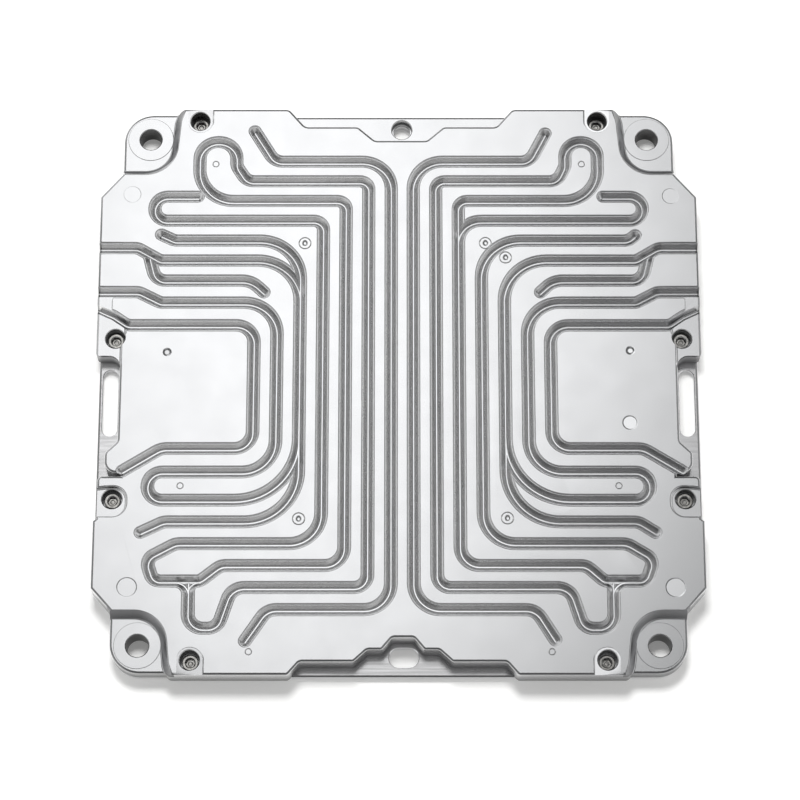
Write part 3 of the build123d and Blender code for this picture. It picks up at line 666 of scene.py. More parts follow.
def side_edge(side):
    """Corners of one side of the plateau, from the back ear to the front ear."""
    edge = [
        (EAR_WALL_FOOT_X, PLATEAU_BACK, 3),
        (EAR_WALL_OUTER_X, BASE_BACK, 0.5),
        (EAR_HALF_WIDTH, BASE_BACK, EAR_ROUND),
        (EAR_HALF_WIDTH, BACK_EAR_START, 0),
        (PLATEAU_HALF_WIDTH, BACK_SHOULDER, 0),
        (PLATEAU_HALF_WIDTH, FLANGE_BACK, 1.5),
        (FLANGE_INNER_X, FLANGE_BACK, 7),
        (FLANGE_INNER_X, FLANGE_NECK, 4),
        (FLANGE_TIP_X, FLANGE_TIP_BACK, 4),
        (FLANGE_TIP_X, FLANGE_TIP_FRONT, 7),
        (FLANGE_TIP_X - FLANGE_TIP_WIDTH, FLANGE_TIP_FRONT, 1),
        (FLANGE_TIP_X - FLANGE_TIP_WIDTH, FLANGE_FRONT, 0),
        (PLATEAU_HALF_WIDTH - LOWER_PAD_EDGE, FLANGE_FRONT, 3),
        (PLATEAU_HALF_WIDTH - LOWER_PAD_EDGE, LOWER_PAD_END, 0),
        (PLATEAU_LOWER_HALF_WIDTH, LOWER_PAD_FOOT, 0),
        (PLATEAU_LOWER_HALF_WIDTH, FRONT_SHOULDER, 0),
        (EAR_HALF_WIDTH, FRONT_EAR_START, 0),
        (EAR_HALF_WIDTH, BASE_FRONT, EAR_ROUND),
        (EAR_WALL_OUTER_X, BASE_FRONT, 0.5),
        (EAR_WALL_FOOT_X, PLATEAU_FRONT, 3),
    ]
    return on_side(side, edge)


def seal_corners(grow):
    """Corners of the seal's centre line, moved outwards."""
    x = SEAL_HALF_WIDTH + grow
    back = SEAL_BACK + grow
    front = SEAL_FRONT - grow
    cut = SEAL_CORNER + grow * tan(pi / 8)
    half = [(x - cut, front, 0), (x, front + cut, 0), (x, back - cut, 0), (x - cut, back, 0)]
    return half + on_side(-1, half[::-1])


def base_outline():
    """Corners of one side of the base plate, from back to front, with its rounded ears."""
    return [
        (-EAR_HALF_WIDTH, BASE_BACK, EAR_ROUND),
        (-EAR_HALF_WIDTH, BACK_EAR_START, 0.5),
        (-BASE_HALF_WIDTH, BACK_SHOULDER, 0),
        (-BASE_HALF_WIDTH, FRONT_SHOULDER, 0),
        (-EAR_HALF_WIDTH, FRONT_EAR_START, 0.5),
        (-EAR_HALF_WIDTH, BASE_FRONT, EAR_ROUND),
    ]


def bend(before, corner, after, radius, offset):
    """Points of a path at one corner, moved to the left of its direction by the offset."""
    into = (corner - before).normalized()
    out = (after - corner).normalized()
    turn = atan2(into.x * out.y - into.y * out.x, into.dot(out))
    normal_in = Vector((-into.y, into.x))
    normal_out = Vector((-out.y, out.x))
    mitre = corner + (normal_in + normal_out) * (offset / (1 + into.dot(out)))
    if radius == 0:
        return [mitre]
    step = ROUND_STEP if radius > SMALL_ROUND else SMALL_ROUND_STEP
    count = max(2, ceil(degrees(abs(turn)) / step))
    side = 1 if turn > 0 else -1
    reach = radius - side * offset
    if reach <= HAIR:
        return [mitre] * (count + 1)
    centre = corner - into * radius * tan(abs(turn) / 2) + normal_in * side * radius
    start = atan2(-side * normal_in.y, -side * normal_in.x)
    angles = [start + turn * i / count for i in range(count + 1)]
    return [centre + Vector((cos(a), sin(a))) * reach for a in angles]


def rectangle(x, y, half_width, half_length, radius=0):
    """Corners of a rectangle about its middle."""
    right = [(half_width, y - half_length, radius), (half_width, y + half_length, radius)]
    return on_side(-1, right[:1], x) + on_side(1, right, x) + on_side(-1, right[1:], x)


def corner_places(corners):
    return [Vector((x, y)) for x, y, _ in corners]


def closed_outline(corners, offset):
    """Closed outline through rounded corners in order, moved outwards by the offset."""
    points = []
    places = corner_places(corners)
    count = len(places)
    area = sum(places[i - 1].x * places[i].y - places[i].x * places[i - 1].y for i in range(count))
    outwards = -1 if area > 0 else 1
    for i in range(count):
        after = places[(i + 1) % count]
        points += bend(places[i - 1], places[i], after, corners[i][2], outwards * offset)
    return points if area > 0 else points[::-1]


def path_side(corners, offset):
    """One side of an open path, moved to the left of its direction by the offset."""
    places = corner_places(corners)
    first = (places[1] - places[0]).normalized()
    last = (places[-1] - places[-2]).normalized()
    points = [places[0] + Vector((-first.y, first.x)) * offset]
    for i in range(1, len(places) - 1):
        points += bend(places[i - 1], places[i], places[i + 1], corners[i][2], offset)
    points.append(places[-1] + Vector((-last.y, last.x)) * offset)
    return points


def round_end(before, centre, half_width):
    """Half circle round the end of a path, from its left side to its right side."""
    along = centre - before
    start = atan2(along.x, -along.y)
    angles = [start - pi * i / END_STEPS for i in range(1, END_STEPS)]
    return [centre + Vector((cos(a), sin(a))) * half_width for a in angles]


def path_outline(corners, half_width, blind_start, blind_end):
    """Closed outline round an open path, along its right side and back along its left side."""
    places = corner_places(corners)
    end = round_end(places[-2], places[-1], half_width) if blind_end else []
    start = round_end(places[1], places[0], half_width) if blind_start else []
    right = path_side(corners, -half_width)[::-1]
    return (path_side(corners, half_width) + end + right + start)[::-1]


def end_moved(route, length):
    """The route with its last end moved on, or drawn back by a length below 0."""
    before, end = corner_places(route[-2:])
    moved = end + (end - before).normalized() * length
    return list(route[:-1]) + [(moved.x, moved.y, 0)]


def stretched(route, blind_start, blind_end):
    """The route with its open ends moved on a little, so that pieces of one groove overlap."""
    if not blind_end:
        route = end_moved(route, END_OVERLAP)
    if not blind_start:
        route = end_moved(route[::-1], END_OVERLAP)[::-1]
    return route


def wall_profile(top, foot, run_in, rim, fillet, steps=WALL_STEPS):
    """Offsets and heights down the wall of a pocket, with a rounded rim and a fillet at its foot."""
    lean = atan2(run_in, top - foot)
    sweep = pi / 2 - lean
    rim_length = rim * tan(sweep / 2)
    foot_length = fillet * tan(sweep / 2)
    outside = rim_length + SMALL_RIM
    levels = [(outside, top + CUT_OVER), (outside, top + HAIR)]
    for i in range(1, steps + 1):
        a = sweep * i / steps
        levels.append((rim_length - rim * sin(a), top - rim + rim * cos(a)))
    for i in range(steps):
        a = sweep * (1 - i / steps)
        levels.append((-run_in - foot_length + fillet * sin(a), foot + fillet - fillet * cos(a)))
    levels.append((-run_in - foot_length, foot))
    return levels


def block_profile(foot, top, rim):
    """Offsets and heights of a block from its foot up to a rounded top rim."""
    levels = [(0.0, foot)]
    for i in range(WALL_STEPS + 1):
        a = pi / 2 * i / WALL_STEPS
        levels.append((-rim + rim * cos(a), top - rim + rim * sin(a)))
    return levels


def edge_profile(foot, top):
    """Offsets and heights of a block whose top edge has a shallow chamfer and a small round below it."""
    sweep = pi / 2 - EDGE_SLOPE
    inner = -EDGE_ROUND + EDGE_ROUND * cos(sweep)
    drop = (EDGE_CHAMFER + inner) * tan(EDGE_SLOPE)
    middle = top - drop - EDGE_ROUND * sin(sweep)
    levels = [(0.0, foot)]
    for i in range(EDGE_STEPS + 1):
        a = sweep * i / EDGE_STEPS
        levels.append((-EDGE_ROUND + EDGE_ROUND * cos(a), middle + EDGE_ROUND * sin(a)))
    return levels + [(-EDGE_CHAMFER, top), (-EDGE_CHAMFER - EDGE_LOOP, top)]


def added(name, data):
    """New object in the scene."""
    piece = bpy.data.objects.new(name, data)
    bpy.context.scene.collection.objects.link(piece)
    return piece


def loft(name, outlines):
    """Closed mesh through outlines of equal count, each with its height, lowest first."""
    mesh = bpy.data.meshes.new(name)
    bm = bmesh.new()
    rings = []
    for points, height in outlines:
        heights = height if isinstance(height, list) else [height] * len(points)
        places = [(p.x * MM, (p.y + DRAWING_TO_FRAME_Y) * MM, z * MM) for p, z in zip(points, heights)]
        rings.append([bm.verts.new(place) for place in places])
    count = len(rings[0])
    for low, high in zip(rings, rings[1:]):
        for i in range(count):
            j = (i + 1) % count
            bm.faces.new((low[i], low[j], high[j], high[i]))
    bm.faces.new(rings[0][::-1])
    bm.faces.new(rings[-1])
    bmesh.ops.remove_doubles(bm, verts=bm.verts, dist=SAME_PLACE)
    bm.to_mesh(mesh)
    bm.free()
    return added(name, mesh)


def block(name, corners, profile):
    return loft(name, [(closed_outline(corners, offset), z) for offset, z in profile])


def pocket(name, corners, profile):
    return block(name, corners, profile[::-1])


def disc(x, y, radius, profile, steps=DISC_STEPS):
    """Round block or cutter through a profile, whose offsets are added to the radius."""
    rings = []
    angles = [2 * pi * i / steps for i in range(steps)]
    for offset, z in profile:
        reach = radius + offset
        rings.append(([Vector((x + reach * cos(a), y + reach * sin(a))) for a in angles], z))
    return loft("disc", rings)


def groove_profile():
    """Section of one side of a groove: rounded rim, steep lip, narrow ledge, sloped wall, round foot."""
    ledge = PLATEAU_HEIGHT - LEDGE_DEPTH
    lip = wall_profile(PLATEAU_HEIGHT, ledge, LIP_RUN, GROOVE_RIM, LEDGE_FILLET, LIP_STEPS)
    start = LIP_RUN + LEDGE_WIDTH
    floor = PLATEAU_HEIGHT - GROOVE_DEPTH
    run_in = (GROOVE_WIDTH - GROOVE_FLOOR) / 2 - start
    wall = wall_profile(ledge, floor, run_in, LEDGE_RIM, GROOVE_FILLET)[1 + WALL_STEPS:]
    return lip + [(-start, ledge)] + [(offset - start, z) for offset, z in wall]


def groove_cutter(route, blind_start, blind_end):
    """Cutter for one groove, whose floor leans a little to the back where it runs across the plate."""
    line = stretched(route, blind_start, blind_end)
    half = GROOVE_WIDTH / 2
    middle = path_outline(line, HAIR / 20, blind_start, blind_end)
    outlines = []
    for offset, z in reversed(groove_profile()):
        outline = path_outline(line, half + offset, blind_start, blind_end)
        lean = FLOOR_LEAN if z < PLATEAU_HEIGHT - GROOVE_DEPTH + GROOVE_FILLET / 2 else 0.0
        heights = [z - lean * (point.y - centre.y) for point, centre in zip(outline, middle)]
        outlines.append((outline, heights))
    return loft("groove", outlines)


def branch_flare(half, reach):
    """Rounded corner where the arm of the front bulb leaves the branch row, outwards or inwards."""
    arm = half["front_bulb"][1]
    corner = (arm, BRANCH_ROW, abs(reach) - FLARE_END)
    return [(arm + reach, BRANCH_ROW, 0), corner, (arm, BRANCH_ROW - abs(reach), 0)]


def groove_cutters():
    """Cutters for all grooves, each with its blind ends rounded and its open ends flat."""
    cutters = []
    for side, half in ((-1, LEFT), (1, RIGHT)):
        inward = BRANCH_BEND - half["front_bulb"][1] + FLARE_END
        for route, blind_start, blind_end in (
            (branch_flare(half, FLARE_REACH), False, False),
            (branch_flare(half, inward), False, False),
            (inner_groove(half), True, True),
            (front_bulb(half), True, False),
            (meander(half), False, False),
            (outer_groove(half), False, True),
            (port_groove(half), False, False),
            (stub_groove(half), True, True),
            (pad_groove(side), False, True),
        ):
            cutters.append(groove_cutter(on_side(side, route, CHANNEL_CENTRE), blind_start, blind_end))
    for side, half, number, hook_bend, return_bend in BLIND_BRANCHES:
        start, next_start = [(run(number + i), MEANDER_SPLIT, 0) for i in (0, 1)]
        for route in (hook(half, start, hook_bend), back_return(half, next_start, return_bend)):
            shorter = end_moved(on_side(side, route, CHANNEL_CENTRE), -BLIND_END_TRIM)
            cutters.append(groove_cutter(shorter, False, True))
    return cutters


def ear_corners(side, ear_start, mouth, edge):
    """Pocket over one ear, for the back when the edge is above the ear's start, else for the front."""
    away = 1 if edge > ear_start else -1
    outside = EAR_HALF_WIDTH + EAR_ROUND
    beyond = edge + away * EAR_ROUND
    corners = [
        (outside, ear_start, 0),
        (outside, beyond, 0),
        (EAR_WALL_MOUTH_X, beyond, 0),
        (EAR_WALL_MOUTH_X, edge + away * EAR_WALL_FLARE, 0),
        (EAR_WALL_FOOT_X, mouth, EAR_FOOT_ROUND),
        (EAR_WALL_X, ear_start, EAR_WALL_BEND),
    ]
    return on_side(side, corners)


def ear_cutters():
    """Pockets over the four ears, cut on down through the upper block."""
    profile = wall_profile(PLATEAU_HEIGHT, EAR_HEIGHT, EAR_WALL_RUN, EDGE_RIM, EAR_FILLET)
    profile[-1] = (profile[-1][0], EAR_HEIGHT - HAIR / 2)
    profile.append((profile[-1][0], BASE_THICKNESS))
    back = (BACK_EAR_START, BACK_EAR_MOUTH, PLATEAU_BACK)
    front = (FRONT_EAR_START, FRONT_EAR_MOUTH, PLATEAU_FRONT)
    return [pocket("ear", ear_corners(side, *ear), profile) for side in (-1, 1) for ear in (back, front)]


def edge_pad_cutter(x, y, edge, side):
    """Shallow pocket round a screw, whose floor slopes up to nothing towards the ear."""
    away = 1 if edge > 0 else -1
    radius = EDGE_PAD_RADIUS
    corners = [
        (x - side * radius, y - away * radius, EDGE_PAD_ROUND),
        (x + side * radius, y - away * radius, EDGE_PAD_ROUND),
        (x + side * radius, edge + away * radius, 0),
        (x - side * radius, edge + away * radius, 0),
    ]
    profile = wall_profile(PLATEAU_HEIGHT, PLATEAU_HEIGHT - EDGE_PAD_DEPTH, 0, SMALL_RIM, SMALL_RIM)
    cutter = pocket("pad", corners, profile)
    slope = EDGE_PAD_DEPTH / (2 * radius)
    for vertex in cutter.data.vertices:
        vertex.co.z += slope * side * (vertex.co.x - (x - side * radius) * MM)
    return cutter


def pad_cutters():
    floor = PLATEAU_HEIGHT - PAD_STEP
    pad = wall_profile(PLATEAU_HEIGHT, floor, PAD_WALL_RUN, PAD_RIM, PAD_FILLET, PAD_STEPS)
    step = wall_profile(PLATEAU_HEIGHT, PLATEAU_HEIGHT - SHELF_STEP, 0, SMALL_RIM, SMALL_RIM)
    cutters = []
    for side in (-1, 1):
        for (x, y), edge in ((BACK_SCREW, PLATEAU_BACK), (FRONT_SCREW, PLATEAU_FRONT)):
            cutters.append(edge_pad_cutter(side * x, y, edge, side))
        for corners, profile in ((LOWER_PAD, pad), (UPPER_PAD, pad), (LAND_STEP, step)):
            cutters.append(pocket("pad", on_side(-side, corners, side * PLATEAU_HALF_WIDTH), profile))
    return cutters


def bolt_positions():
    half = BOLT_SPACING_X / 2
    return [(x, y) for x in (-half, half) for y in (BOLT_BACK, BOLT_FRONT)]


def screw_positions():
    half = (BACK_SCREW, UPPER_SCREW, LOWER_SCREW, FRONT_SCREW)
    return [(side * x, y) for side in (-1, 1) for x, y in half]


def chamfered(low, top, chamfer):
    """Profile of a hole that is open at the top, with a chamfered mouth."""
    mouth = chamfer + HAIR
    return [(0, low), (0, top - chamfer), (mouth, top + HAIR), (mouth, top + CUT_OVER)]


def hole_cutters():
    """Cutters for the bolt holes, the counterbored screw holes and the stepped locating hole."""
    bolt_hole = chamfered(0, EAR_HEIGHT + BOSS_RISE, HOLE_CHAMFER)
    cutters = [disc(x, y, BOLT_HOLE_RADIUS, bolt_hole) for x, y in bolt_positions()]
    seat = SCREW_TIP_GAP + SCREW_LENGTH
    for x, y in screw_positions():
        on_edge = abs(x) < EAR_WALL_FOOT_X
        mouth = PLATEAU_HEIGHT - (EDGE_PAD_DEPTH / 2 if on_edge else PAD_STEP)
        cutters.append(disc(x, y, CLEARANCE_RADIUS, [(0, 0), (0, seat + CUT_OVER)], BORE_STEPS))
        bore = chamfered(seat, mouth, HOLE_CHAMFER) + [(HOLE_CHAMFER, PLATEAU_HEIGHT + 2 * CUT_OVER)]
        cutters.append(disc(x, y, COUNTERBORE_RADIUS, bore))
    top = BACK_FLANGE_HEIGHT
    step = chamfered(top - LOCATING_STEP_DEPTH, top, HOLE_CHAMFER)
    for radius, profile in ((LOCATING_RADIUS, [(0, 0), (0, top + CUT_OVER)]), (LOCATING_STEP_RADIUS, step)):
        cutters.append(disc(LOCATING_HOLE_X, LOCATING_HOLE_Y, radius, profile))
    return cutters


def leaning_pit(x, y, radius, depth, lean):
    """Shallow round pit with a sloped rim, whose floor leans a little to its back left side."""
    top = PLATEAU_HEIGHT
    low = top - depth
    run_up = PIT_RIM_RUN * depth
    profile = [(-run_up - 10 * HAIR, low), (-run_up, low), (0, top), (HAIR, top + CUT_OVER)]
    pit = disc(x, y, radius, profile, PIT_STEPS)
    middle = Vector((x * MM, (y + DRAWING_TO_FRAME_Y) * MM))
    for vertex in pit.data.vertices:
        if vertex.co.z < (top - HAIR / 2) * MM:
            vertex.co.z -= lean * (vertex.co.xy - middle).dot(PIT_LEAN)
    return pit


def ring_cutter(x, y, radius, width, depth):
    """Fine round line."""
    top = PLATEAU_HEIGHT
    low = top - depth
    ring = disc(x, y, radius, [(-width / 2, low), (0, top), (0, top + CUT_OVER)], RING_STEPS)
    inside = [(width / 2, top - CUT_OVER), (width / 2, low), (0, top), (0, top + 2 * CUT_OVER)]
    return combine(ring, [disc(x, y, radius - width, inside, RING_STEPS)], "DIFFERENCE")


def mark_cutters():
    """Round marks that the casting tool left in the top face."""
    cutters = [leaning_pit(*mark) for mark in WIDE_MARKS]
    ring_pit = [(offset, PLATEAU_HEIGHT + z) for offset, z in RING_PIT]
    for x, y in RING_MARKS:
        cutters.append(ring_cutter(x, y, *RING_LINE))
        cutters.append(disc(x, y, RING_PIT_RADIUS, ring_pit, SMALL_STEPS))
    for x, y in PIN_MARKS:
        cutters.append(leaning_pit(x, y, *PIN_PIT))
        cutters.append(ring_cutter(x, y, *PIN_LINE))
    return cutters + [ring_cutter(x, y, *DOT_LINE) for x, y in DOT_MARKS]


def seal_ring(name, gap, profile):
    """Closed ring on the joint face, as wide as the seal plus a gap on each side."""
    low, top = profile[0][1] - CUT_OVER, profile[-1][1] + CUT_OVER
    grow = SEAL_WIDTH / 2 + gap
    core = block("seal_core", seal_corners(-grow), [(0, low), (0, top)])
    return combine(block(name, seal_corners(grow), profile), [core], "DIFFERENCE")


def seal_groove_cutter():
    profile = [(0, BASE_THICKNESS - CUT_OVER), (0, BASE_THICKNESS + SEAL_HEIGHT)]
    return seal_ring("seal_groove", SEAL_SIDE_GAP, profile)


def combine(target, others, operation):
    """Joins or cuts the target with closed meshes, bakes the result and deletes them."""
    for other in others:
        modifier = target.modifiers.new(operation.lower(), "BOOLEAN")
        modifier.operation = operation
        modifier.solver = "MANIFOLD"
        modifier.object = other
    graph = bpy.context.evaluated_depsgraph_get()
    mesh = bpy.data.meshes.new_from_object(target.evaluated_get(graph))
    target.modifiers.clear()
    target.data = mesh
    for other in others:
        bpy.data.objects.remove(other)
    return target


def smooth(piece, angle=SMOOTH_ANGLE):
    """Shades smooth between faces that meet at less than the angle, with flat faces kept flat."""
    mesh = piece.data
    mesh.polygons.foreach_set("use_smooth", [True] * len(mesh.polygons))
    mesh.set_sharp_from_angle(angle=radians(angle))
    modifier = piece.modifiers.new("flats", "WEIGHTED_NORMAL")
    modifier.keep_sharp = True
    modifier.weight = 100
    return piece


def make_channel_plate():
    """Casting with rounded rims and smooth bends, in the place of the plain solid."""
    outline = back_recess() + side_edge(-1) + front_recess() + side_edge(1)[::-1]
    plate = block("channel_plate_dressed", outline, edge_profile(BASE_THICKNESS, EAR_HEIGHT))
    upper = block("upper", outline, edge_profile(EAR_HEIGHT - JOIN_DEPTH, PLATEAU_HEIGHT))
    combine(upper, ear_cutters(), "DIFFERENCE")
    front = BACK_NOTCH - BACK_FLANGE_OVERLAP
    flange_size = (BACK_OUTER_HALF + CUT_OVER, (BASE_BACK - front) / 2)
    flange = rectangle(BACK_CENTRE, (BASE_BACK + front) / 2, *flange_size)
    low = block("flange", flange, edge_profile(BASE_THICKNESS, BACK_FLANGE_HEIGHT))
    boss_profile = block_profile(EAR_HEIGHT - JOIN_DEPTH, EAR_HEIGHT + BOSS_RISE, BOSS_RISE)
    bosses = [disc(x, y, BOSS_RADIUS, boss_profile, BOSS_STEPS) for x, y in bolt_positions()]
    combine(plate, [upper, low] + bosses, "UNION")
    combine(plate, pad_cutters(), "DIFFERENCE")
    combine(plate, groove_cutters(), "DIFFERENCE")
    combine(plate, hole_cutters() + mark_cutters() + [seal_groove_cutter()], "DIFFERENCE")
    return smooth(plate)


def make_base_plate():
    """Flat plate with small rims round its edges, slots and holes."""
    left = base_outline()
    outline = left + on_side(-1, left[::-1])
    profile = [(-BASE_RIM, 0.0)] + edge_profile(BASE_RIM, BASE_THICKNESS)
    plate = block("base_plate_dressed", outline, profile)
    opening = [(0, -CUT_OVER)] + chamfered(0, BASE_THICKNESS, BASE_RIM)[1:]
    slot = rectangle(SLOT_X, SLOT_Y, SLOT_LENGTH / 2, SLOT_WIDTH / 2, SLOT_WIDTH / 2 - HAIR / 2)
    cutters = [block("slot", slot, opening)]
    half = WINDOW_WIDTH / 2
    window = (WINDOW_BACK + WINDOW_FRONT) / 2, half, (WINDOW_BACK - WINDOW_FRONT) / 2, half - HAIR / 2
    for x in (-WINDOW_X, WINDOW_X):
        cutters.append(block("window", rectangle(x, *window), opening))
    through = [(0, -CUT_OVER), (0, BASE_THICKNESS + CUT_OVER)]
    for x, y in bolt_positions():
        cutters.append(disc(x, y, BOLT_HOLE_RADIUS, through))
    for x, y in screw_positions():
        cutters.append(disc(x, y, SCREW_RADIUS + THREAD_CLEARANCE, through, BORE_STEPS))
    cutters.append(disc(LOCATING_HOLE_X, LOCATING_HOLE_Y, LOCATING_RADIUS, through))
    combine(plate, cutters, "DIFFERENCE")
    return smooth(plate)


def hexagon_ring(x, y, radius):
    """Points of a hexagon, as many as a round of the same loft has."""
    points = []
    corners = [Vector((cos(pi / 3 * i), sin(pi / 3 * i))) * radius for i in range(7)]
    for low, high in zip(corners, corners[1:]):
        points += [Vector((x, y)) + low.lerp(high, i / HEXAGON_STEPS) for i in range(HEXAGON_STEPS)]
    return points


def make_screw(x, y):
    """Cap screw with a chamfered head, a countersunk socket mouth and a plain shank."""
    tip = SCREW_TIP_GAP
    seat = tip + SCREW_LENGTH
    top = seat + HEAD_HEIGHT
    wide = HEAD_RADIUS - SCREW_RADIUS
    shank = [(-SCREW_TIP_CHAMFER, tip), (0, tip + SCREW_TIP_CHAMFER), (0, seat)]
    head = [(wide, seat), (wide, top - SCREW_HEAD_CHAMFER), (wide - SCREW_HEAD_CHAMFER, top)]
    screw = disc(x, y, SCREW_RADIUS, shank + head)
    corner_radius = SOCKET_WIDTH / 2 / cos(pi / 6)
    hexagon = hexagon_ring(x, y, corner_radius)
    floor = top - SOCKET_DEPTH
    key = loft("socket", [(hexagon, floor), (hexagon, top - SOCKET_CHAMFER), (hexagon, top + CUT_OVER)])
    mouth = [(-SOCKET_FLARE, top - SOCKET_FLARE), (0, top), (0, top + CUT_OVER)]
    flare = disc(x, y, corner_radius + SOCKET_CHAMFER, mouth)
    cone = [(-PILOT_DEPTH, floor - PILOT_DEPTH), (0, floor + PILOT_OVERLAP)]
    pilot = disc(x, y, SOCKET_WIDTH / 2 - PILOT_INSET, cone, SMALL_STEPS)
    return combine(screw, [key, flare, pilot], "DIFFERENCE")


def make_screws():
    first, *others = [make_screw(x, y) for x, y in screw_positions()]
    first.name = "cap_screws_dressed"
    combine(first, others, "UNION")
    return smooth(first, SCREW_SMOOTH_ANGLE)


def make_seal():
    """Rubber ring with softly rounded edges."""
    low = BASE_THICKNESS
    top = low + SEAL_HEIGHT
    soft = [(-SEAL_ROUND, low), (0, low + SEAL_ROUND), (0, top - SEAL_ROUND), (-SEAL_ROUND, top)]
    return smooth(seal_ring("perimeter_seal_dressed", 0, soft))


def set_camera():
    data = bpy.data.cameras.new("camera")
    data.lens = CAMERA_LENS
    data.sensor_width = SENSOR_WIDTH
    data.clip_end = CLIP_END
    camera = added("camera", data)
    back = Vector((0, -sin(CAMERA_TILT), cos(CAMERA_TILT)))
    camera.location = CAMERA_AIM + back * CAMERA_DISTANCE
    camera.rotation_euler = (CAMERA_TILT, 0, 0)
    bpy.context.scene.camera = camera


def make_key_lamp():
    """Area lamp aimed at the plate, that the metal doesn't mirror."""
    data = bpy.data.lights.new("key", "AREA")
    data.shape = "RECTANGLE"
    data.size, data.size_y = KEY_SIZE
    data.energy = KEY_POWER
    lamp = added("key", data)
    place = Vector((-tan(KEY_LEFT), tan(KEY_BACK), 1)).normalized() * KEY_DISTANCE
    lamp.location = place
    lamp.rotation_euler = (-place).to_track_quat("-Z", "Y").to_euler()
    lamp.visible_glossy = False


class Nodes:
    """Short way to add and link shader nodes in one tree."""

    def __init__(self, tree):
        self.tree = tree

    def add(self, kind, **inputs):
        node = self.tree.nodes.new(kind)
        for name, value in inputs.items():
            self.set(node, name, value)
        return node

    def set(self, node, name, value):
        socket = node.inputs[name]
        if isinstance(value, bpy.types.NodeSocket):
            self.tree.links.new(value, socket)
        else:
            socket.default_value = value

    def work(self, kind, operation, *values):
        """New node of a kind that works on values, in their order."""
        node = self.tree.nodes.new(kind)
        node.operation = operation
        for index, value in enumerate(values):
            self.set(node, index, value)
        return node

    def math(self, operation, first, *others):
        """Result of an operation on one value, or on several from left to right."""
        if not others:
            return self.work("ShaderNodeMath", operation, first).outputs[0]
        for value in others:
            first = self.work("ShaderNodeMath", operation, first, value).outputs[0]
        return first

    def times(self, *values):
        return self.math("MULTIPLY", *values)

    def plus(self, *values):
        return self.math("ADD", *values)

    def minus(self, a, b):
        return self.math("SUBTRACT", a, b)

    def over(self, a, b):
        return self.math("DIVIDE", a, b)

    def most(self, *values):
        return self.math("MAXIMUM", *values)

    def length(self, a, b):
        return self.math("SQRT", self.plus(self.times(a, a), self.times(b, b)))

    def size(self, value):
        return self.math("ABSOLUTE", value)

    def rest(self, value, share=1.0):
        """What is left of 1 without a share of the value."""
        return self.minus(1.0, self.times(value, share))

    def split(self, vector):
        return self.add("ShaderNodeSeparateXYZ", Vector=vector).outputs[:3]

    def dot(self, a, b):
        return self.work("ShaderNodeVectorMath", "DOT_PRODUCT", a, b).outputs["Value"]

    def scaled(self, colour, level):
        """Colour made lighter or darker by a level around 1."""
        node = self.work("ShaderNodeVectorMath", "SCALE", colour)
        self.set(node, "Scale", level)
        return node.outputs[0]

    def ramp(self, factor, stops):
        """Grey levels at places between 0 and 1."""
        node = self.add("ShaderNodeValToRGB", Fac=factor)
        elements = node.color_ramp.elements
        while len(elements) < len(stops):
            elements.new(0.5)
        for element, (place, level) in zip(elements, stops):
            element.position = place
            element.color = (level, level, level, 1)
        return node.outputs["Color"]

    def spread(self, value, limits, levels=(0.0, 1.0)):
        """Value between two limits, spread over two levels and held there outside the limits."""
        node = self.add("ShaderNodeMapRange", Value=value)
        for name, amount in zip(("From Min", "From Max", "To Min", "To Max"), (*limits, *levels)):
            self.set(node, name, amount)
        return node.outputs["Result"]

    def rise(self, value, limits):
        """0 to 1 between two limits in millimetres, for a value in metres."""
        return self.spread(value, [limit * MM for limit in limits])

    def between(self, value, start, end):
        """1 between a start and an end, each given by the limits in which it changes, else 0."""
        return self.times(self.spread(value, start), self.spread(value, end))

    def mix(self, factor, a, b):
        """Blend of two colours, each a socket or three numbers."""
        node = self.tree.nodes.new("ShaderNodeMix")
        node.data_type = "RGBA"
        self.set(node, "Factor", factor)
        for index, colour in ((6, a), (7, b)):
            self.set(node, index, colour if isinstance(colour, bpy.types.NodeSocket) else (*colour, 1))
        return node.outputs[2]

    def blend(self, factor, a, b):
        """Blend of two values."""
        return self.add("ShaderNodeMix", Factor=factor, A=a, B=b).outputs[0]

    def place(self):
        return self.add("ShaderNodeTexCoord").outputs["Object"]

    def normal(self):
        return self.add("ShaderNodeNewGeometry").outputs["Normal"]


def softbox(nodes, across, behind):
    along = nodes.over(nodes.minus(behind, BOX_Y), BOX_STRETCH)
    away = nodes.over(nodes.length(across, along), BOX_REACH)
    return nodes.scaled(nodes.ramp(away, BOX_LEVELS), BOX_STRENGTH)


def room_light(nodes, right, back, height):
    """Level of the room in a direction, with light on its sides and on the left of its back wall."""
    band = nodes.times(nodes.spread(back, BACK_DIM_BACK), nodes.spread(height, BACK_DIM_UP))
    dim_front = nodes.spread(back, FRONT_DIM_BACK, (1.0 - FRONT_DIM, 1.0))
    room = nodes.times(nodes.ramp(height, ROOM_LEVELS), nodes.rest(band, BACK_DIM), dim_front)
    sides = nodes.times(nodes.spread(nodes.size(right), SIDE_LIGHT_OUT), SIDE_LIGHT)
    left = nodes.spread(nodes.times(right, -1.0), WALL_LEFT)
    wall = nodes.times(left, nodes.between(back, WALL_BACK, WALL_BACK_END), WALL_LIGHT)
    return nodes.plus(room, sides, wall)


def glow_light(nodes, across, behind):
    """Soft patch on the ceiling in front of the softbox."""
    ahead = nodes.between(behind, GLOW_BACK, GLOW_BACK_END)
    return nodes.times(ahead, nodes.between(across, GLOW_RIGHT, GLOW_RIGHT_END), GLOW_LIGHT)


def top_light(nodes, sideways, behind):
    """Patch straight above, that the lands mirror in a view from the top."""
    away = nodes.length(sideways, nodes.plus(behind, TOP_SHIFT))
    return nodes.times(nodes.spread(away, TOP_REACH), TOP_LIGHT)


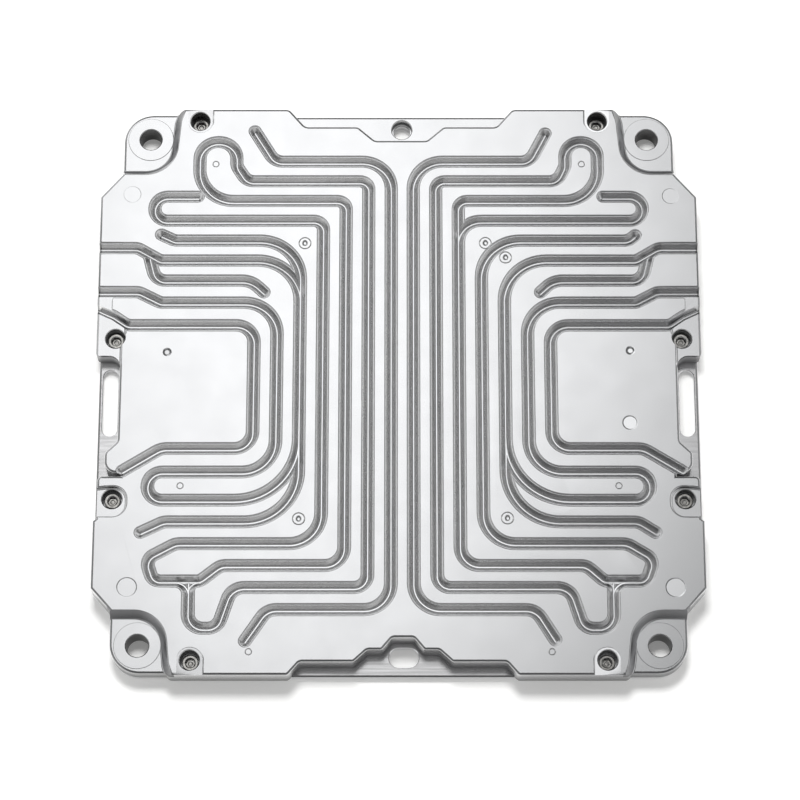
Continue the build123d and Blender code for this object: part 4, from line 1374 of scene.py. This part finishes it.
def set_world():
    """White studio with a dim ceiling and one softbox, above and a little behind the plate."""
    world = bpy.data.worlds.new("studio")
    bpy.context.scene.world = world
    world.use_nodes = True
    nodes = Nodes(world.node_tree)
    right, back, height = nodes.split(nodes.add("ShaderNodeTexCoord").outputs["Generated"])
    above = nodes.most(height, LOWEST_RISE)
    sideways = nodes.over(right, above)
    behind = nodes.over(back, above)
    across = nodes.minus(sideways, BOX_X)
    room = nodes.plus(room_light(nodes, right, back, height), glow_light(nodes, across, behind))
    room = nodes.most(nodes.math("MINIMUM", room, ROOM_LIMIT), top_light(nodes, sideways, behind))
    light = nodes.work("ShaderNodeVectorMath", "ADD", room, softbox(nodes, across, behind)).outputs[0]
    seen = nodes.add("ShaderNodeLightPath").outputs["Is Camera Ray"]
    nodes.set(world.node_tree.nodes["Background"], "Color", nodes.mix(seen, light, (1, 1, 1)))


def principled(name, metallic=1.0):
    """New material with its node helper and its shader."""
    material = bpy.data.materials.new(name)
    material.use_nodes = True
    nodes = Nodes(material.node_tree)
    shader = material.node_tree.nodes["Principled BSDF"]
    nodes.set(shader, "Metallic", metallic)
    return material, nodes, shader


def set_surface(nodes, shader, colour, roughness, relief, depth):
    """Colour and roughness of a material, and its fine relief with a depth in millimetres."""
    bump = nodes.add("ShaderNodeBump", Height=relief, Distance=depth * MM, Strength=1.0)
    for name, value in (("Base Color", colour), ("Roughness", roughness), ("Normal", bump.outputs[0])):
        nodes.set(shader, name, value)


def noise(nodes, place, pattern):
    """Noise between 0 and 1 from a size per metre, a detail and a stretch of each axis."""
    scale, detail, stretch = pattern
    mapping = nodes.add("ShaderNodeMapping", Vector=place, Scale=stretch)
    texture = nodes.add("ShaderNodeTexNoise", Vector=mapping.outputs[0], Scale=scale, Detail=detail)
    return texture.outputs["Fac"]


def varied(nodes, place, pattern, levels, limits=NOISE_RANGE):
    """Noise spread over two levels."""
    return nodes.spread(noise(nodes, place, pattern), limits, levels)


def within(nodes, parts, x, y, radius):
    """1 inside an upright cylinder on each side of the plate, at a place in drawing millimetres, else 0."""
    across = nodes.minus(nodes.size(parts[0]), x * MM)
    along = nodes.minus(parts[1], (y + DRAWING_TO_FRAME_Y) * MM)
    return nodes.rise(nodes.length(across, along), (radius + MASK_EDGE, radius))


def around_bolts(nodes, parts, radius, shift=0):
    """1 near the bolt holes, about centres moved outwards by the shift."""
    x = BOLT_SPACING_X / 2 + shift
    places = (BOLT_BACK + shift, BOLT_FRONT - shift)
    return nodes.most(*[within(nodes, parts, x, y, radius) for y in places])


def around_screws(nodes, parts, radius):
    """1 near the screws."""
    places = (BACK_SCREW, UPPER_SCREW, LOWER_SCREW, FRONT_SCREW)
    return nodes.most(*[within(nodes, parts, x, y, radius) for x, y in places])


def chamfer_shade(nodes, normal, up):
    """Level of the shallow chamfers round the outer edges: painted shade that makes them stand out dark,
    but for those in front.
    """
    chamfer = nodes.between(up, CHAMFER_UP, CHAMFER_UP_END)
    chamfer = nodes.times(chamfer, nodes.spread(nodes.dot(normal, TO_FRONT), CHAMFER_TO_FRONT))
    return nodes.rest(chamfer, CHAMFER_SHADE)


def recess_walls(nodes, parts):
    """1 on the walls of the side recesses over the windows, where painted shade goes, and 1 only on their
    feet.
    """
    across, along = [nodes.size(part) for part in parts[:2]]
    rises = (across, RECESS_OUT), (parts[2], RECESS_TOP), (along, RECESS_ALONG)
    wall = nodes.times(*[nodes.rise(value, limits) for value, limits in rises])
    return wall, nodes.times(wall, nodes.rise(parts[2], RECESS_FOOT))


def cast_walls(nodes, parts, normal, recess, lines):
    """Colour of the walls, with painted shade: darker on the right, towards the foot, on the recess walls,
    in the ears and in the holes.
    """
    right, _, height = parts
    # Painted shade on walls that face the front, more of it towards the right
    shade = nodes.spread(nodes.dot(normal, TO_FRONT), SHADED_TO_FRONT)
    shade = nodes.times(nodes.rise(right, SHADED_RIGHT), shade)
    wall = nodes.mix(shade, WALL_COLOUR, SHADED_WALL_COLOUR)
    # Painted shade, darker towards the foot of the walls, partly their as-cast tone
    wall = nodes.mix(nodes.rise(height, SKIRT_SHADE_HEIGHTS), wall, SKIRT_SHADE_COLOUR)
    # Painted shade on the recess walls, with their feet left out
    wall = nodes.scaled(nodes.mix(recess, wall, RECESS_AND_EAR_SHADE_COLOUR), lines)
    # Painted shade on the ear walls, darker still towards their feet
    ear = around_bolts(nodes, parts, EAR_SHADE_RADIUS, EAR_SHADE_SHIFT)
    over_ear = [EAR_HEIGHT - gap for gap in EAR_SHADE_GAPS]
    ear = nodes.times(ear, nodes.rise(height, over_ear))
    ear_wall = nodes.mix(nodes.rise(height, EAR_WALL_HEIGHTS), RECESS_AND_EAR_SHADE_COLOUR, EAR_FOOT_SHADE_COLOUR)
    wall = nodes.mix(ear, wall, ear_wall)
    # Painted shade in the bolt holes and the screw counterbores
    wall = nodes.mix(around_bolts(nodes, parts, BOLT_SHADE_RADIUS), wall, BOLT_HOLE_SHADE_COLOUR)
    return nodes.mix(around_screws(nodes, parts, SCREW_SHADE_RADIUS), wall, SCREW_HOLE_SHADE_COLOUR)


def side_edge_shade(nodes, parts):
    """Level of the chamfers at the side edges, which lie lower than the lands: painted shade that darkens
    them.
    """
    inside = [PLATEAU_HALF_WIDTH - gap for gap in SIDE_EDGE_GAPS]
    outer = nodes.rise(nodes.size(parts[0]), inside)
    outer = nodes.times(outer, nodes.rise(parts[2], SIDE_EDGE_HEIGHTS))
    return nodes.rest(outer, CHAMFER_SHADE)


def cast_aluminium():
    """Satin machined lands, darker walls with milling lines round the grooves and painted shade, and
    painted shade on the outer edge chamfers.
    """
    material, nodes, shader = principled("dressed_casting")
    normal = nodes.normal()
    place = nodes.place()
    parts = nodes.split(place)
    up = nodes.dot(normal, UP)
    face = nodes.spread(up, FACE_UP)
    recess, foot = recess_walls(nodes, parts)
    lines = varied(nodes, place, MILLING, MILLING_LEVELS)
    wall = cast_walls(nodes, parts, normal, nodes.minus(recess, foot), lines)
    clouds = varied(nodes, place, *LAND_CLOUDS)
    grain = noise(nodes, place, LAND_GRAIN)
    grains = nodes.spread(grain, NOISE_RANGE, LAND_GRAIN_LEVELS)
    land = nodes.scaled(FACE_COLOUR, nodes.times(clouds, grains))
    # Painted shade on the outer edge chamfers
    painted_edge_shade = nodes.times(chamfer_shade(nodes, normal, up), side_edge_shade(nodes, parts))
    satin = varied(nodes, place, *LAND_SATIN)
    dull = nodes.spread(lines, MILLING_LEVELS, WALL_ROUGHNESS)
    colour = nodes.scaled(nodes.mix(face, wall, land), painted_edge_shade)
    set_surface(nodes, shader, colour, nodes.blend(face, dull, satin), grain, LAND_RELIEF)
    nodes.set(shader, "Metallic", nodes.rest(foot, nodes.rest(face)))
    return material


def plate_aluminium():
    """Rolled sheet with fine lines across it and a satin surface, with painted shade on the edge chamfers
    and in the bolt holes.
    """
    material, nodes, shader = principled("dressed_plate")
    place = nodes.place()
    normal = nodes.normal()
    rolled = noise(nodes, place, ROLLING)
    clouds = varied(nodes, place, *SHEET_CLOUDS)
    # Painted shade on the edge chamfers
    painted_edge_shade = chamfer_shade(nodes, normal, nodes.dot(normal, UP))
    level = nodes.times(clouds, nodes.spread(rolled, NOISE_RANGE, ROLLING_LEVELS), painted_edge_shade)
    # Painted shade in the bolt holes
    hole = around_bolts(nodes, nodes.split(place), BOLT_SHADE_RADIUS)
    colour = nodes.scaled(nodes.mix(hole, SHEET_COLOUR, BOLT_HOLE_SHADE_COLOUR), level)
    roughness = nodes.spread(rolled, NOISE_RANGE, SHEET_ROUGHNESS)
    set_surface(nodes, shader, colour, roughness, rolled, ROLLING_RELIEF)
    return material


def screw_steel():
    """Turned steel with patches and fine lines: a painted highlight on the chamfers, a darker top, and
    painted shade on the upright faces and in the socket.
    """
    material, nodes, shader = principled("dressed_steel")
    place = nodes.place()
    up = nodes.dot(nodes.normal(), UP)
    turned = noise(nodes, place, TURNING)
    patches = varied(nodes, place, *STEEL_PATCHES)
    # Painted highlight on the chamfers and painted shade on the upright faces and in the socket
    side = nodes.mix(nodes.spread(up, SOCKET_UP), STEEL_UPRIGHT_SHADE_COLOUR, STEEL_CHAMFER_HIGHLIGHT_COLOUR)
    steel = nodes.mix(nodes.spread(up, STEEL_TOP_UP), side, STEEL_COLOUR)
    roughness = nodes.spread(turned, NOISE_RANGE, STEEL_ROUGHNESS)
    set_surface(nodes, shader, nodes.scaled(steel, patches), roughness, turned, TURNING_RELIEF)
    return material


def seal_rubber():
    """Dull black rubber with a fine grain."""
    material, nodes, shader = principled("dressed_rubber", 0.0)
    grain = noise(nodes, nodes.place(), RUBBER_GRAIN)
    colour = nodes.scaled(RUBBER_COLOUR, nodes.spread(grain, NOISE_RANGE, RUBBER_LEVELS))
    roughness = nodes.spread(grain, NOISE_RANGE, RUBBER_ROUGHNESS)
    set_surface(nodes, shader, colour, roughness, grain, RUBBER_RELIEF)
    return material


def floor_material():
    """White floor that camera and reflections see as bright, with the object's shadow kept."""
    material = bpy.data.materials.new("floor")
    material.use_nodes = True
    tree = material.node_tree
    nodes = Nodes(tree)
    tree.nodes.remove(tree.nodes["Principled BSDF"])
    diffuse = nodes.add("ShaderNodeBsdfDiffuse", Color=FLOOR_COLOUR)
    path = nodes.add("ShaderNodeLightPath")
    seen = nodes.most(path.outputs["Is Camera Ray"], path.outputs["Is Glossy Ray"])
    glow = nodes.add("ShaderNodeEmission", Color=FLOOR_GLOW_COLOUR, Strength=nodes.times(seen, FLOOR_GLOW))
    both = nodes.add("ShaderNodeAddShader")
    for index, part in enumerate((diffuse, glow)):
        nodes.set(both, index, part.outputs[0])
    nodes.set(tree.nodes["Material Output"], "Surface", both.outputs[0])
    return material


def make_floor():
    mesh = bpy.data.meshes.new("floor")
    corners = [(x * FLOOR_HALF, y * FLOOR_HALF, 0) for x, y in ((-1, -1), (1, -1), (1, 1), (-1, 1))]
    mesh.from_pydata(corners, [], [(0, 1, 2, 3)])
    mesh.materials.append(floor_material())
    floor = added("floor", mesh)


scene = bpy.context.scene
scene.view_settings.view_transform = "Standard"
set_camera()
set_world()
make_floor()
make_key_lamp()
dressed = (
    (make_channel_plate(), "channel_plate", "cast_aluminium", cast_aluminium()),
    (make_base_plate(), "base_plate", "plate_aluminium", plate_aluminium()),
    (make_screws(), "cap_screws", "screw_steel", screw_steel()),
    (make_seal(), "perimeter_seal", "seal_rubber", seal_rubber()),
)
for piece, node, slot, material in dressed:
    for mesh in (piece.data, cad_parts[node].data):
        mesh.materials.clear()
        mesh.materials.append(material)
    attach(piece, "root")
    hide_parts(node)
